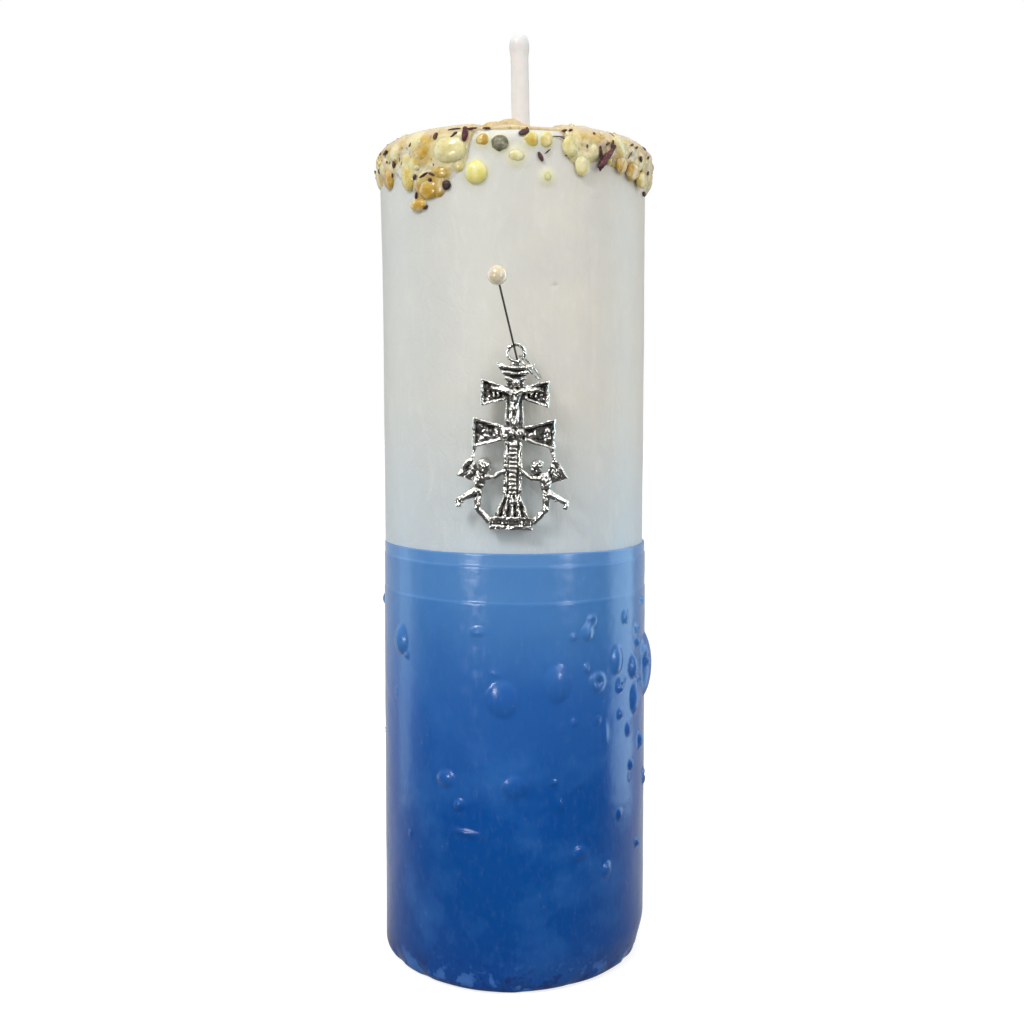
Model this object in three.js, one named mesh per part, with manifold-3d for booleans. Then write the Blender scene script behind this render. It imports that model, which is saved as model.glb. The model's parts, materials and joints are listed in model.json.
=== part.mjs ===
// Prayer candle: a white wax pillar dipped half way up in blue wax, with a crust of resin tears, seeds and
// petals round its top, and a small two-barred cross hung on a pearl-headed pin.
// Millimetres, +Z up, the base's centre at the origin, the cross on the -Y side.
import * as THREE from 'three';
import Module from 'manifold-3d';

const wasm = await Module();
wasm.setup();

// Clearances between pieces
const FIT = 0.3;             // between two pieces seated in one another
const PIN_FIT = 0.2;         // round the pin
const EDGE_FIT = 0.15;       // between the coat's upper edge and the pillar's shoulder
const SEAT_FIT = 0.1;        // between the crust and the pillar's flat top

// Pillar
const PILLAR_R = 30;
const PILLAR_TOP = 185.4;
const RIM_ROUND = 2.2;
const RIM_SOFT = 2.3;        // how much rounder the rim is at the sides
const LEFT_FLARE = 0.5;      // how far the wax leans out at the top left
const FLARE_H = 37.4;        // the leaning part's height, down from the top

// Blue coat
const COAT_TOP = 97.3;
const COAT_DEPTH = 1.4;      // how deep the coat reaches inside the pillar's outer face
const COAT_PROUD = 0.3;      // how far its top edge stands out
const COAT_BASE_PROUD = 0.8;
const COAT_SHIFT = 0.25;     // the coat hangs a little to the right
const COAT_FLOOR = 2;
const FOOT_ROUND = 2.4;
const FOOT_STEP = 2;         // how far the right side of the foot steps in
const FOOT_STEP_H = 9;
const DIP_LINES = [2.8, 10.7]; // below its top edge
const DIP_STEP = 0.12;
const DIP_LINE_H = 0.8;
const FINE_BLISTER = 3.5;    // blisters wider than this get finer facets

// Wick
const WICK_X = 1.7;
const WICK_LEAN = -0.5;      // sideways from the crust to the tip
const WICK_CORE_R = 1.2;
const WICK_SLEEVE_R = 2.03;
const WICK_SHOWN = 26.6;     // above the pillar's top
const WICK_HEAD_R = 2.25;
const WICK_TIP_WAX = 1.6;    // wax over the end of the cotton

// Wick sustainer, hidden at the foot
const SUSTAINER_R = 7.5;
const SUSTAINER_T = 0.6;
const SUSTAINER_NECK_H = 5;
const SUSTAINER_NECK_WALL = 0.5;

// Crust
const CRUST_T = 1.7;         // over the pillar's top
const CRUST_RIM_T = 0.5;     // over the rim
const CRUST_LAP_T = 0.35;    // over its side
const CRUST_LAP_RIGHT = 0.9; // and how much thicker on the right
const CRUST_SKIN = 0.25;     // wax that carries the lap
const CRUST_LUMP = 0.35;     // how far its crumbs stand in and out
const LUMPS = 76;            // resin lumps run into it
const LUMP_LEAST = 2.4;
const LUMP_MOST = 4.4;
const LUMP_OUT = 0.55;       // how far a lump stands out of it
const LUMP_TURN = 205.1;     // degrees from one lump to the next
const LUMP_STEP = 0.755;     // and how far up the lap or in over the top
const LAP_THIN = 0.1;        // how far it hangs over the rim at the front
const LAP_LEFT = 9.2;        // and how much farther on the left
const LAP_RIGHT = 6.8;       // and on the right
const LAP_FAR_RIGHT = 3.4;   // and round the right-hand side
const LAP_WAVE = 0.7;
const CLUSTER_DROP = 4.6;    // the hanging cluster left of the front
const TIP_DROP = 5.6;        // and its tip
const DRIP_DROP = 1.8;       // the drip right of the front

// Cross, in its own plane: the loop's hole is the origin
const LOOP_X = 0.45;
const LOOP_DROP = 46;        // below the pillar's top
const LOOP_OUT = 3.6;        // off the wax
const FOOT_OFF = 0.27;       // from the casting's foot to the wax
const CROSS_TURN = -1.6;     // degrees its foot hangs to the left
const LOOP_R = 1.78;
const LOOP_WIRE = 0.46;
const PLATE_T = 1.3;
const BORDER = 0.65;
const EDGE_BEAD = 0.42;       // radius of the raised bead round each bar's ends
const PANEL_SINK = 0.4;
const CROWN_TOP = -2.05;
const CROWN_FOOT = -6;
const CROWN_W = 8.2;
const CROWN_NECK_W = 3.6;
const SHAFT_W = 3.7;
const UPPER_BAR = { at: -8.2, width: 14.1, end: 5.8, middle: 2.8 };
const LOWER_BAR = { at: -16.5, width: 17.3, end: 6.6, middle: 2.8 };
const SKIRT_TOP = -29.4;
const BASE_TOP = -34.1;
const BASE_FOOT = -36.7;
const BASE_W = 9;
const BASE_T = 2.2;
const SKIRT_W = 5;
const SKIRT_FOOT_W = 7.4;
const RIBS = 12;
const FLUTES = 5;

// Winged figures beside the shaft
const FIGURE_X = 7;          // torso from the shaft's middle
const FIGURE_HEAD = -23.5;
const FIGURE_HEAD_R = 1.5;
const RIGHT_HEAD_IN = 0.9;   // the right-hand head is nearer the shaft
const FIGURE_T = 1.5;

// Jump ring and pin
const RING_R = 3.21;
const RING_WIRE = 0.27;
const RING_GAP = 8;          // degrees left open between its two ends
const RING_HOLD = -37.75;    // degrees round the loop to the place it hangs from
const RING_ALONG = -45.9;    // degrees it hangs to the right and down
const RING_SLACK = 0.834;    // between the two wires' centres
const RING_TURN = 8.56;      // degrees its plane is turned
const RING_TILT = 11.36;     // degrees its middle leans outwards
const PIN_R = 0.22;
const PIN_LENGTH = 38;
const PIN_HEAD_R = 2;
const PIN_SHOWN = 22.6;      // from the loop to the head's centre
const PIN_CROSSING = [-0.247, 0.638];
const PIN_AIM = [-0.152, 0.647, 0.75];

const rad = THREE.MathUtils.degToRad;
const { sin, cos, asin, PI, max, min, abs, exp, sqrt } = Math;

// Sizes that follow from those above
const WICK_TIP = PILLAR_TOP + WICK_SHOWN;
const FLARE_START = PILLAR_TOP - FLARE_H;
const LOOP_AT = [LOOP_X, -(PILLAR_R + LOOP_OUT), PILLAR_TOP - LOOP_DROP];
const CROSS_LEAN = asin((LOOP_OUT - (BASE_T + 0.3) / 2 - FOOT_OFF) / -BASE_FOOT); // its foot is near the wax

// Seeded noise, so that each build is the same
function random(seed) {
  let s = seed >>> 0;
  return () => {
    s = (s + 0x6d2b79f5) >>> 0;
    let t = Math.imul(s ^ (s >>> 15), 1 | s);
    t = (t + Math.imul(t ^ (t >>> 7), 61 | t)) ^ t;
    return ((t ^ (t >>> 14)) >>> 0) / 4294967296;
  };
}

// A smooth wave in the angle round the candle, the same each build
function wave(angle, seed, lobes) {
  let sum = 0;
  for (let k = 1; k <= 3; k += 1) sum += sin(angle * (lobes * k + k - 1) + seed * k * 1.7) / k;
  return sum / 1.8;
}

const smooth = (t) => { const c = min(1, max(0, t)); return c * c * (3 - 2 * c); };
const ramp = (x, a, b) => smooth((x - a) / (b - a));
const hill = (x, at, width) => exp(-(((x - at) / width) ** 2));

// Position at an angle round the candle: 0 is the front, positive to the right
const around = (deg, r, z, shift = 0) => new THREE.Vector3(shift + r * sin(rad(deg)), -r * cos(rad(deg)), z);

// Closed body from rings of points: each ring has the same number of points
function skin(rings, loop = false) {
  const n = rings[0].length;
  const positions = [];
  const index = [];
  for (const ring of rings) for (const p of ring) positions.push(p.x, p.y, p.z);
  const last = loop ? rings.length : rings.length - 1;
  for (let i = 0; i < last; i += 1) {
    const a = i * n;
    const b = ((i + 1) % rings.length) * n;
    for (let j = 0; j < n; j += 1) {
      const k = (j + 1) % n;
      index.push(a + j, a + k, b + k, a + j, b + k, b + j);
    }
  }
  if (!loop) {
    [0, rings.length - 1].forEach((at, end) => {
      const centre = rings[at].reduce((s, p) => s.add(p), new THREE.Vector3()).divideScalar(n);
      const c = positions.length / 3;
      positions.push(centre.x, centre.y, centre.z);
      for (let j = 0; j < n; j += 1) {
        const k = (j + 1) % n;
        if (end === 0) index.push(c, at * n + k, at * n + j);
        else index.push(c, at * n + j, at * n + k);
      }
    });
  }
  const geometry = new THREE.BufferGeometry();
  geometry.setAttribute('position', new THREE.Float32BufferAttribute(positions, 3));
  geometry.setIndex(index);
  return geometry;
}

// three.js geometry to a manifold solid, with equal points merged
function solid(geometry, matrix) {
  const source = geometry.index ? geometry.toNonIndexed() : geometry;
  if (matrix) source.applyMatrix4(matrix);
  const p = source.attributes.position;
  const seen = new Map();
  const points = [];
  const tris = [];
  for (let i = 0; i < p.count; i += 3) {
    const t = [0, 1, 2].map((k) => {
      const q = [p.getX(i + k), p.getY(i + k), p.getZ(i + k)];
      const key = q.map((v) => Math.round(v * 2000)).join();
      if (!seen.has(key)) { seen.set(key, points.length / 3); points.push(...q); }
      return seen.get(key);
    });
    if (t[0] !== t[1] && t[1] !== t[2] && t[0] !== t[2]) tris.push(...t);
  }
  const make = (list) => new wasm.Manifold(new wasm.Mesh({
    numProp: 3, vertProperties: new Float32Array(points), triVerts: new Uint32Array(list),
  }));
  const body = make(tris);
  if (body.volume() > 0) return body;
  const flipped = [];
  for (let i = 0; i < tris.length; i += 3) flipped.push(tris[i], tris[i + 2], tris[i + 1]);
  return make(flipped);
}

function toGeometry(body) {
  const mesh = body.getMesh();
  const geometry = new THREE.BufferGeometry();
  const p = new Float32Array((mesh.vertProperties.length / mesh.numProp) * 3);
  for (let i = 0; i < p.length / 3; i += 1) {
    for (let k = 0; k < 3; k += 1) p[i * 3 + k] = mesh.vertProperties[i * mesh.numProp + k];
  }
  geometry.setAttribute('position', new THREE.BufferAttribute(p, 3));
  geometry.setIndex(Array.from(mesh.triVerts));
  geometry.computeVertexNormals();
  return geometry;
}

// Crumbs that a pocket cuts loose are left out
const biggest = (body) => body.decompose().sort((a, b) => b.volume() - a.volume())[0];
const joined = (list) => list.reduce((sum, body) => sum.add(body));

// A round bar through points, thicker or thinner along its way
function bar(points, radius, sides = 8, loop = false) {
  const n = points.length;
  const size = (i) => (typeof radius === 'function' ? radius(i / (n - 1)) : radius);
  let side = null;
  const rings = points.map((p, i) => {
    const before = points[loop ? (i + n - 1) % n : max(0, i - 1)];
    const after = points[loop ? (i + 1) % n : min(n - 1, i + 1)];
    const along = after.clone().sub(before).normalize();
    if (!side) side = abs(along.z) < 0.9 ? new THREE.Vector3(0, 0, 1) : new THREE.Vector3(1, 0, 0);
    side = side.clone().addScaledVector(along, -side.dot(along)).normalize();
    const up = along.clone().cross(side);
    return Array.from({ length: sides }, (_, k) => {
      const a = (2 * PI * k) / sides;
      return p.clone().addScaledVector(side, size(i) * cos(a)).addScaledVector(up, size(i) * sin(a));
    });
  });
  return solid(skin(rings, loop));
}

// An uneven pebble: a stretched sphere with its points moved in and out
function pebble(at, size, seed, rough = 0.12, detail = 1, grow = 0) {
  const next = random(seed);
  const bumps = Array.from({ length: 5 }, () => new THREE.Vector3(next() - 0.5, next() - 0.5, next() - 0.5)
    .normalize());
  const turn = new THREE.Quaternion().setFromEuler(new THREE.Euler(0, 0, (next() - 0.5) * 0.8));
  const geometry = new THREE.IcosahedronGeometry(1, detail);
  const p = geometry.attributes.position;
  const v = new THREE.Vector3();
  for (let i = 0; i < p.count; i += 1) {
    v.fromBufferAttribute(p, i).normalize();
    const r = bumps.reduce((s, b, k) => s + (k % 2 ? -1 : 1) * rough * max(0, v.dot(b)) ** 2, 1);
    const [sx, sy, sz] = size.map((d) => (d / 2) * r + grow);
    p.setXYZ(i, v.x * sx, v.y * sy, v.z * sz);
  }
  const matrix = new THREE.Matrix4().makeRotationFromQuaternion(turn);
  return solid(geometry, at.clone().multiply(matrix));
}

// A frame on the candle's side: x along the skin to the right, y outwards, z up
function onSide(deg, r, z, roll = 0) {
  const place = around(deg, r, z);
  return new THREE.Matrix4().makeTranslation(place.x, place.y, place.z)
    .multiply(new THREE.Matrix4().makeRotationZ(rad(deg)))
    .multiply(new THREE.Matrix4().makeRotationY(rad(roll)));
}

// Shapes that several pieces share

// Height of the coat's upper edge
function coatTop(deg) {
  const a = rad(deg);
  return COAT_TOP - 0.3 * (1 - cos(a)) + 0.14 * wave(a, 2, 2) - 0.15 * sin(a) ** 3;
}

// The white pillar's outer radius
function pillarRadius(deg, z) {
  const left = max(0, -sin(rad(deg)));
  const lean = LEFT_FLARE * left * ramp(z, FLARE_START, PILLAR_TOP);
  return PILLAR_R + lean + 0.08 * wave(rad(deg), 5 + z * 0.02, 2);
}

// The coat's outer radius
function coatRadius(deg, z) {
  const down = (COAT_TOP - z) / COAT_TOP;
  let r = PILLAR_R + COAT_PROUD + (COAT_BASE_PROUD - COAT_PROUD - DIP_LINES.length * DIP_STEP) * down;
  for (const line of DIP_LINES) r += DIP_STEP * ramp(COAT_TOP - line - z, -DIP_LINE_H / 2, DIP_LINE_H / 2);
  const right = max(0, sin(rad(deg)));
  r -= FOOT_STEP * right ** 0.7 * ramp(FOOT_STEP_H - z, 0, FOOT_STEP_H) * (0.8 + 0.2 * wave(rad(deg), 4, 4));
  if (z < FOOT_ROUND) r -= (FOOT_ROUND - sqrt(FOOT_ROUND ** 2 - (FOOT_ROUND - z) ** 2))
    * (1 + 0.25 * wave(rad(deg), 9, 6));
  return r;
}

// The rim's rounding: the wax has sagged more at the sides
const rimRound = (deg) => RIM_ROUND + RIM_SOFT * sin(rad(deg)) ** 2;

// How far the crust hangs down from the pillar's top
function lapDrop(deg) {
  const left = LAP_LEFT * ramp(-deg, 15, 21);
  const right = LAP_RIGHT * ramp(deg, 19, 23) + LAP_FAR_RIGHT * ramp(deg, 45, 75);
  const back = (LAP_RIGHT + LAP_FAR_RIGHT - LAP_LEFT) * ramp(deg, 100, 178);
  const hung = CLUSTER_DROP * hill(deg, -31, 6) + TIP_DROP * hill(deg, -41, 4.5)
    + DRIP_DROP * hill(deg, 29.5, 3);
  const wavy = LAP_WAVE * wave(rad(deg), 3, 5) * ramp(abs(deg), 45, 60);
  return LAP_THIN + left + right - back + hung + wavy;
}

const STEPS = 60;
const turns = Array.from({ length: STEPS }, (_, i) => -180 + (360 * i) / STEPS);

// Round body whose radius changes with angle and height
function turned(rows, centreX = 0) {
  return skin(rows.map(([radius, height]) => (
    turns.map((deg) => around(deg, radius(deg), height(deg), centreX)))));
}

const level = (z) => () => z;
const disc = (r, z0, z1, x = 0, sides = 32) => solid(
  new THREE.CylinderGeometry(r, r, z1 - z0, sides).rotateX(PI / 2).translate(x, 0, (z0 + z1) / 2),
);

// Wick's middle line
const wickBend = PILLAR_TOP + 1.5;
const wickLine = (z) => new THREE.Vector3(
  WICK_X + WICK_LEAN * max(0, (z - wickBend) / (WICK_TIP - wickBend)), 0, z,
);

// Cross frame, used by the cross, the ring and the pin
const loopFrame = new THREE.Matrix4().makeTranslation(...LOOP_AT)
  .multiply(new THREE.Matrix4().makeRotationX(PI / 2 + CROSS_LEAN));
const crossFrame = loopFrame.clone()
  .multiply(new THREE.Matrix4().makeTranslation(...PIN_CROSSING, 0))
  .multiply(new THREE.Matrix4().makeRotationZ(rad(CROSS_TURN)))
  .multiply(new THREE.Matrix4().makeTranslation(-PIN_CROSSING[0], -PIN_CROSSING[1], 0));

// Pin: where it crosses the loop and where it points, from tip to head
const pinCross = new THREE.Vector3(...PIN_CROSSING, 0).applyMatrix4(loopFrame);
const pinAim = new THREE.Vector3(...PIN_AIM).transformDirection(loopFrame);
const pinHeadAt = pinCross.clone().addScaledVector(pinAim, PIN_SHOWN);
const pinTip = pinHeadAt.clone().addScaledVector(pinAim, -PIN_LENGTH);

const pieces = new Map();

// Stuck pieces: name, kind, angle, height from the pillar's top, width, tall
const KINDS = {
  frankincense: { color: '#e2cf7a', roughness: 0.35 },
  amber: { color: '#c98f35', roughness: 0.25 },
  pale: { color: '#e9d9b0', roughness: 0.5 },
  bead: { color: '#e8de6a', roughness: 0.3 },
  myrrh: { color: '#5a2d1c', roughness: 0.5 },
  seed: { color: '#3a2418', roughness: 0.6 },
  petal: { color: '#5c2233', roughness: 0.7 },
  berry: { color: '#4c4d36', roughness: 0.55 },
};
const STUCK = [
  ['amber_lump_left_low', 'amber', -62.5, -8, 3.6, 4],
  ['amber_lump_left', 'amber', -37.5, -4.1, 4.8, 4.2],
  ['frankincense_tear_left_large', 'pale', -25.1, -4.4, 6.4, 5],
  ['frankincense_tear_left_long', 'frankincense', -47, -8.5, 4.1, 5.1],
  ['amber_drop_left_middle', 'amber', -29.8, -8.5, 3.2, 2.4],
  ['frankincense_bead_stuck_left', 'bead', -15.4, -8.8, 4.8, 4.8],
  ['amber_drop_front', 'amber', -12.6, -2.4, 2.4, 2.2],
  ['berry_grey_green', 'berry', -5.3, -3, 3.6, 3.4],
  ['frankincense_tear_under_berry', 'pale', 0.9, -5.7, 3, 2.2],
  ['frankincense_tear_front_left', 'frankincense', 6.6, -2.4, 2.7, 2.8],
  ['frankincense_tear_front_right', 'frankincense', 12.8, -2.4, 2.7, 2.8],
  ['frankincense_chip_stuck_right', 'bead', 13.2, -9.7, 2.2, 2.2],
  ['amber_lump_hanging', 'amber', -35.6, -11.5, 4.6, 3.6],
  ['amber_drop_hanging_tip', 'amber', -41.5, -14.5, 4.2, 2.4],
  ['frankincense_tear_right_cream', 'pale', 22.6, -3.4, 3.6, 3.6],
  ['frankincense_drip_right_cream', 'pale', 27.6, -7, 3.3, 4],
  ['amber_lump_right', 'amber', 47.3, -5.9, 3, 3.2],
  ['amber_lump_right_far', 'amber', 55.3, -6.8, 3.8, 3.4],
  ['frankincense_tear_right_far', 'frankincense', 64.4, -8.1, 3.8, 3],
  ['myrrh_seed_right', 'seed', 61.8, -4, 2.4, 1.6],
  ['myrrh_seed_left', 'seed', -27.6, -11.2, 2.2, 2],
  ['frankincense_tear_back_left', 'pale', -118, -5.4, 5, 4.4],
  ['amber_lump_back_left', 'amber', -139, -7.4, 4.4, 4],
  ['frankincense_tear_back', 'frankincense', 172, -6, 5, 4.6],
  ['amber_lump_back_right', 'amber', 128, -7, 4.6, 4],
  ['frankincense_tear_back_right', 'frankincense', 104, -5.8, 4, 4.4],
];
const STUCK_THICK = 0.62;    // a stuck piece's thickness against its width
const STUCK_SINK = 0.42;     // how much of that thickness is sunk under the lap's face
const lapThick = (deg) => CRUST_LAP_T + CRUST_LAP_RIGHT * max(0, sin(rad(deg)));

// Pieces that lie on top: name, kind, angle, share of the pillar's radius, height, length, width, tall
const TOPPING = [
  ['amber_lump_top_front', 'amber', -3.6, 0.88, 0, 11, 4.6, 3.9],
  ['frankincense_tear_top_left', 'frankincense', -80, 0.67, 1.6, 6, 5, 3.4],
  ['frankincense_tear_top_right', 'pale', 70, 0.7, 1.6, 6.4, 5, 3.4],
  ['amber_lump_top_back', 'amber', 160, 0.6, 1.8, 7, 5.4, 3.8],
  ['myrrh_lump_top_left', 'myrrh', -140, 0.67, 1.6, 5, 4.4, 3.4],
  ['myrrh_lump_top_right', 'myrrh', 110, 0.47, 1.6, 4.6, 4, 3.2],
  ['frankincense_tear_top_middle', 'frankincense', -110, 0.35, 1.6, 5.4, 4.6, 3.4],
];

// Petal shards: name, angle, height from the pillar's top, long, wide, roll in degrees
const PETALS = [
  ['petal_shard_right_long', 38.6, -5, 6.6, 1.3, 48],
  ['petal_curl_left', -18.9, -1.2, 2.9, 1.2, 80],
];
const PETAL_T = 0.7;

function stuckBody([, , deg, up, wide, tall], grow = 0) {
  const z = PILLAR_TOP + up;
  const thick = wide * STUCK_THICK;
  const face = pillarRadius(deg, z) + lapThick(deg) * ramp(lapDrop(deg) + up, -1, 1) - 0.2;
  const r = face + thick * (0.5 - STUCK_SINK);
  return pebble(onSide(deg, r, z), [wide, thick, tall], Math.round(deg * 7 + up * 13), 0.14, 1, grow);
}

function toppingBody([, , deg, share, up, long, wide, tall], grow = 0) {
  const at = onSide(deg, PILLAR_R * share, PILLAR_TOP + up);
  return pebble(at, [long, wide, tall], Math.round(deg * 5 + share * 330), 0.18, 1, grow);
}

function petalBody([, deg, up, long, wide, roll], grow = 0) {
  const z = PILLAR_TOP + up;
  const r = pillarRadius(deg, z) + lapThick(deg) + 0.45;
  const shape = new THREE.Shape();
  const room = grow * 1.8;   // its curves keep about half of what their handles gain
  const l = long / 2 + room;
  const w = wide / 2 + room;
  shape.moveTo(-l, 0);
  shape.quadraticCurveTo(-l * 0.3, w * 1.5, l, w * 0.4);
  shape.quadraticCurveTo(l * 0.2, -w * 1.6, -l, 0);
  const t = PETAL_T + 2 * grow;
  const geometry = new THREE.ExtrudeGeometry(shape, { depth: t, bevelEnabled: false, curveSegments: 5 });
  geometry.translate(0, 0, -t / 2).rotateX(PI / 2);
  return solid(geometry, onSide(deg, r, z, -roll));
}

const stuck = [
  ...STUCK.map((row) => ({ name: row[0], kind: row[1], make: (grow) => stuckBody(row, grow) })),
  ...TOPPING.map((row) => ({ name: row[0], kind: row[1], make: (grow) => toppingBody(row, grow) })),
  ...PETALS.map((row) => ({ name: row[0], kind: 'petal', make: (grow) => petalBody(row, grow) })),
];

// Wick: cotton core, its waxed end, and the sustainer that holds it
const wickSteps = (z0, z1, n) => Array.from({ length: n + 1 }, (_, i) => wickLine(z0 + ((z1 - z0) * i) / n));
const wickBore = bar(wickSteps(0, wickBend + 2, 8), WICK_CORE_R + FIT, 16);
const wickHoleInCrust = bar(wickSteps(PILLAR_TOP - 1, WICK_TIP, 6), WICK_SLEEVE_R + FIT, 20);
const cottonTop = WICK_TIP - WICK_TIP_WAX;
pieces.set('wick_core', {
  body: bar([...wickSteps(COAT_FLOOR, wickBend, 3), ...wickSteps(wickBend, cottonTop, 4).slice(1)],
    WICK_CORE_R, 16),
  color: '#e8e2d2', roughness: 0.9,
});

const sleeveHeights = [0, 0.5, 0.78, 0.86, 0.93, 0.965, 0.985, 1];
const sleeveRadii = [0, 0, 0, WICK_HEAD_R - WICK_SLEEVE_R, WICK_HEAD_R - WICK_SLEEVE_R, -0.25, -0.8, -1.5];
const sleeveLength = WICK_TIP - PILLAR_TOP;
const sleeve = solid(skin(sleeveHeights.map((h, i) => {
  const c = wickLine(PILLAR_TOP + h * sleeveLength);
  const r = WICK_SLEEVE_R + sleeveRadii[i];
  return Array.from({ length: 20 }, (_, k) => new THREE.Vector3(
    c.x + r * cos((2 * PI * k) / 20), r * sin((2 * PI * k) / 20), c.z,
  ));
})));
pieces.set('wick_wax_sleeve', {
  body: sleeve.subtract(bar(wickSteps(PILLAR_TOP - 2, cottonTop + EDGE_FIT, 6), WICK_CORE_R + FIT, 16)),
  color: '#eceae6', roughness: 0.4,
});

const neckR = WICK_CORE_R + FIT + SUSTAINER_NECK_WALL;
const neckTop = COAT_FLOOR + SUSTAINER_T + SUSTAINER_NECK_H;
pieces.set('wick_sustainer', {
  body: disc(SUSTAINER_R, COAT_FLOOR, COAT_FLOOR + SUSTAINER_T, WICK_X)
    .add(disc(neckR, COAT_FLOOR, neckTop, WICK_X, 16))
    .subtract(disc(WICK_CORE_R + FIT, 0, neckTop + 1, WICK_X, 16)),
  color: '#a9abad', roughness: 0.35, metalness: 1,
});
const sustainerRoom = disc(SUSTAINER_R + FIT, 0, COAT_FLOOR + SUSTAINER_T + FIT, WICK_X)
  .add(disc(neckR + FIT, 0, neckTop + FIT, WICK_X, 16));

// White pillar
const shoulder = (deg) => coatTop(deg) + EDGE_FIT;
const coreR = PILLAR_R - COAT_DEPTH;
const shoulderZ = (share) => COAT_TOP + (PILLAR_TOP - COAT_TOP) * share;
const pillarRows = [
  [level(coreR), level(COAT_FLOOR)],
  [level(coreR), (deg) => shoulder(deg)],
  [(deg) => pillarRadius(deg, COAT_TOP), (deg) => shoulder(deg)],
  ...[0.2, 0.45, 0.6, 0.75, 0.88].map((share) => shoulderZ(share))
    .map((z) => [(deg) => pillarRadius(deg, z), level(z)]),
  ...[0, 30, 60, 90].map((a) => [
    (deg) => pillarRadius(deg, PILLAR_TOP) - rimRound(deg) * (1 - cos(rad(a))),
    (deg) => PILLAR_TOP - rimRound(deg) * (1 - sin(rad(a))),
  ]),
];
let pillar = solid(turned(pillarRows)).subtract(wickBore).subtract(sustainerRoom);

// Blue coat: a cup with a rounded foot, dip lines and blisters
const coatInner = coreR + FIT;
const coatHeights = [
  ...[0.2, 0.55, 1].map((share) => FOOT_ROUND * share),
  ...[0.5, 0.8, 1].map((share) => FOOT_STEP_H * share),
  ...[0.3, 0.6, 0.8].map((share) => COAT_TOP * share),
  ...DIP_LINES.slice().reverse().map((down) => COAT_TOP - down)
    .flatMap((z) => [z - DIP_LINE_H / 2, z + DIP_LINE_H / 2]),
];
const coatRows = [
  [(deg) => coatRadius(deg, 0.01), level(0)],
  ...coatHeights.map((z) => [(deg) => coatRadius(deg, z), level(z)]),
  [(deg) => coatRadius(deg, COAT_TOP), (deg) => coatTop(deg) - 0.25],
  [(deg) => coatRadius(deg, COAT_TOP) - 0.2, (deg) => coatTop(deg)],
];
const coatRoom = solid(turned([COAT_FLOOR, COAT_TOP + 2].map((z) => [level(coatInner), level(z)])));
// Blisters and drops: angle, height, width, tall, how far they stand out
const BLISTERS = [
  [-56, 76, 5.4, 7.6, 1], [-52, 73, 1.6, 1.6, 0.5], [-5, 66, 7, 8, 0.6], [33, 82, 2.2, 2.6, 0.5],
  [53, 81.5, 2.6, 3.4, 0.6], [64, 78, 2.4, 2.6, 0.8], [64, 75, 2.4, 2.6, 0.8], [47.5, 72.5, 4.4, 7, 0.7],
  [60, 69.5, 4, 6, 0.9], [74, 71, 3, 11, 2], [36, 69, 4.6, 4.8, 0.6], [17, 69, 6.6, 8, 0.5],
  [62, 62.5, 5, 8, 0.9], [50, 60, 2.2, 2.2, 0.5], [43, 57.5, 1.6, 4, 0.4], [-29, 48.5, 5, 4, 0.5],
  [-22.5, 42.5, 2.6, 2.6, 0.5], [0, 47, 6, 5.4, 0.45], [18, 42.8, 2.6, 3.4, 0.4], [28, 47, 2, 2, 0.4],
  [-19, 36, 7, 1.8, 0.4], [-50, 33, 1.6, 1.6, 0.4], [29, 30, 4, 3.6, 0.35], [66, 27, 2, 2.4, 0.5],
];
const blisters = BLISTERS.map(([deg, z, wide, tall, proud]) => {
  const sink = proud * 0.9;
  const depth = proud + sink;
  const at = around(deg, coatRadius(deg, z) - sink, z, COAT_SHIFT);
  const frame = onSide(deg, 0, 0).setPosition(at);
  return solid(new THREE.IcosahedronGeometry(1, wide > FINE_BLISTER ? 1 : 0), frame.multiply(
    new THREE.Matrix4().makeScale(wide / 2 * 1.15, depth, tall / 2 * 1.15),
  ));
});
pieces.set('blue_dip_coat', {
  body: joined([solid(turned(coatRows, COAT_SHIFT)), ...blisters]).subtract(coatRoom),
  color: '#1457a8', roughness: 0.28, detail: 0.1,
});

// Crust: one closed ring of wax and resin crumbs, with its lap over the rim
const crumbs = random(41);
const crumbNoise = Array.from({ length: 10 }, () => turns.map(() => 2 * crumbs() - 1));
const crustNoise = (deg, k) => CRUST_LUMP * crumbNoise[k][turns.indexOf(deg)];

// A point off the wax, a share of the way from the lap's edge up and round the rim to the flat top
function onLap(deg, share, off) {
  const drop = lapDrop(deg);
  const rim = rimRound(deg);
  const body = pillarRadius(deg, PILLAR_TOP);
  const hang = max(0, drop - rim);
  const start = drop < rim ? asin(1 - drop / rim) : 0;
  const s = share * (hang + rim * (PI / 2 - start));
  if (s < hang) return [pillarRadius(deg, PILLAR_TOP - drop + s) + off, PILLAR_TOP - drop + s];
  const a = start + (s - hang) / rim;
  return [body - rim * (1 - cos(a)) + off * cos(a), PILLAR_TOP - rim * (1 - sin(a)) + off * sin(a)];
}
const bedOff = (deg) => FIT + CRUST_SKIN + lapThick(deg) * ramp(lapDrop(deg), 0, 3);

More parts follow.
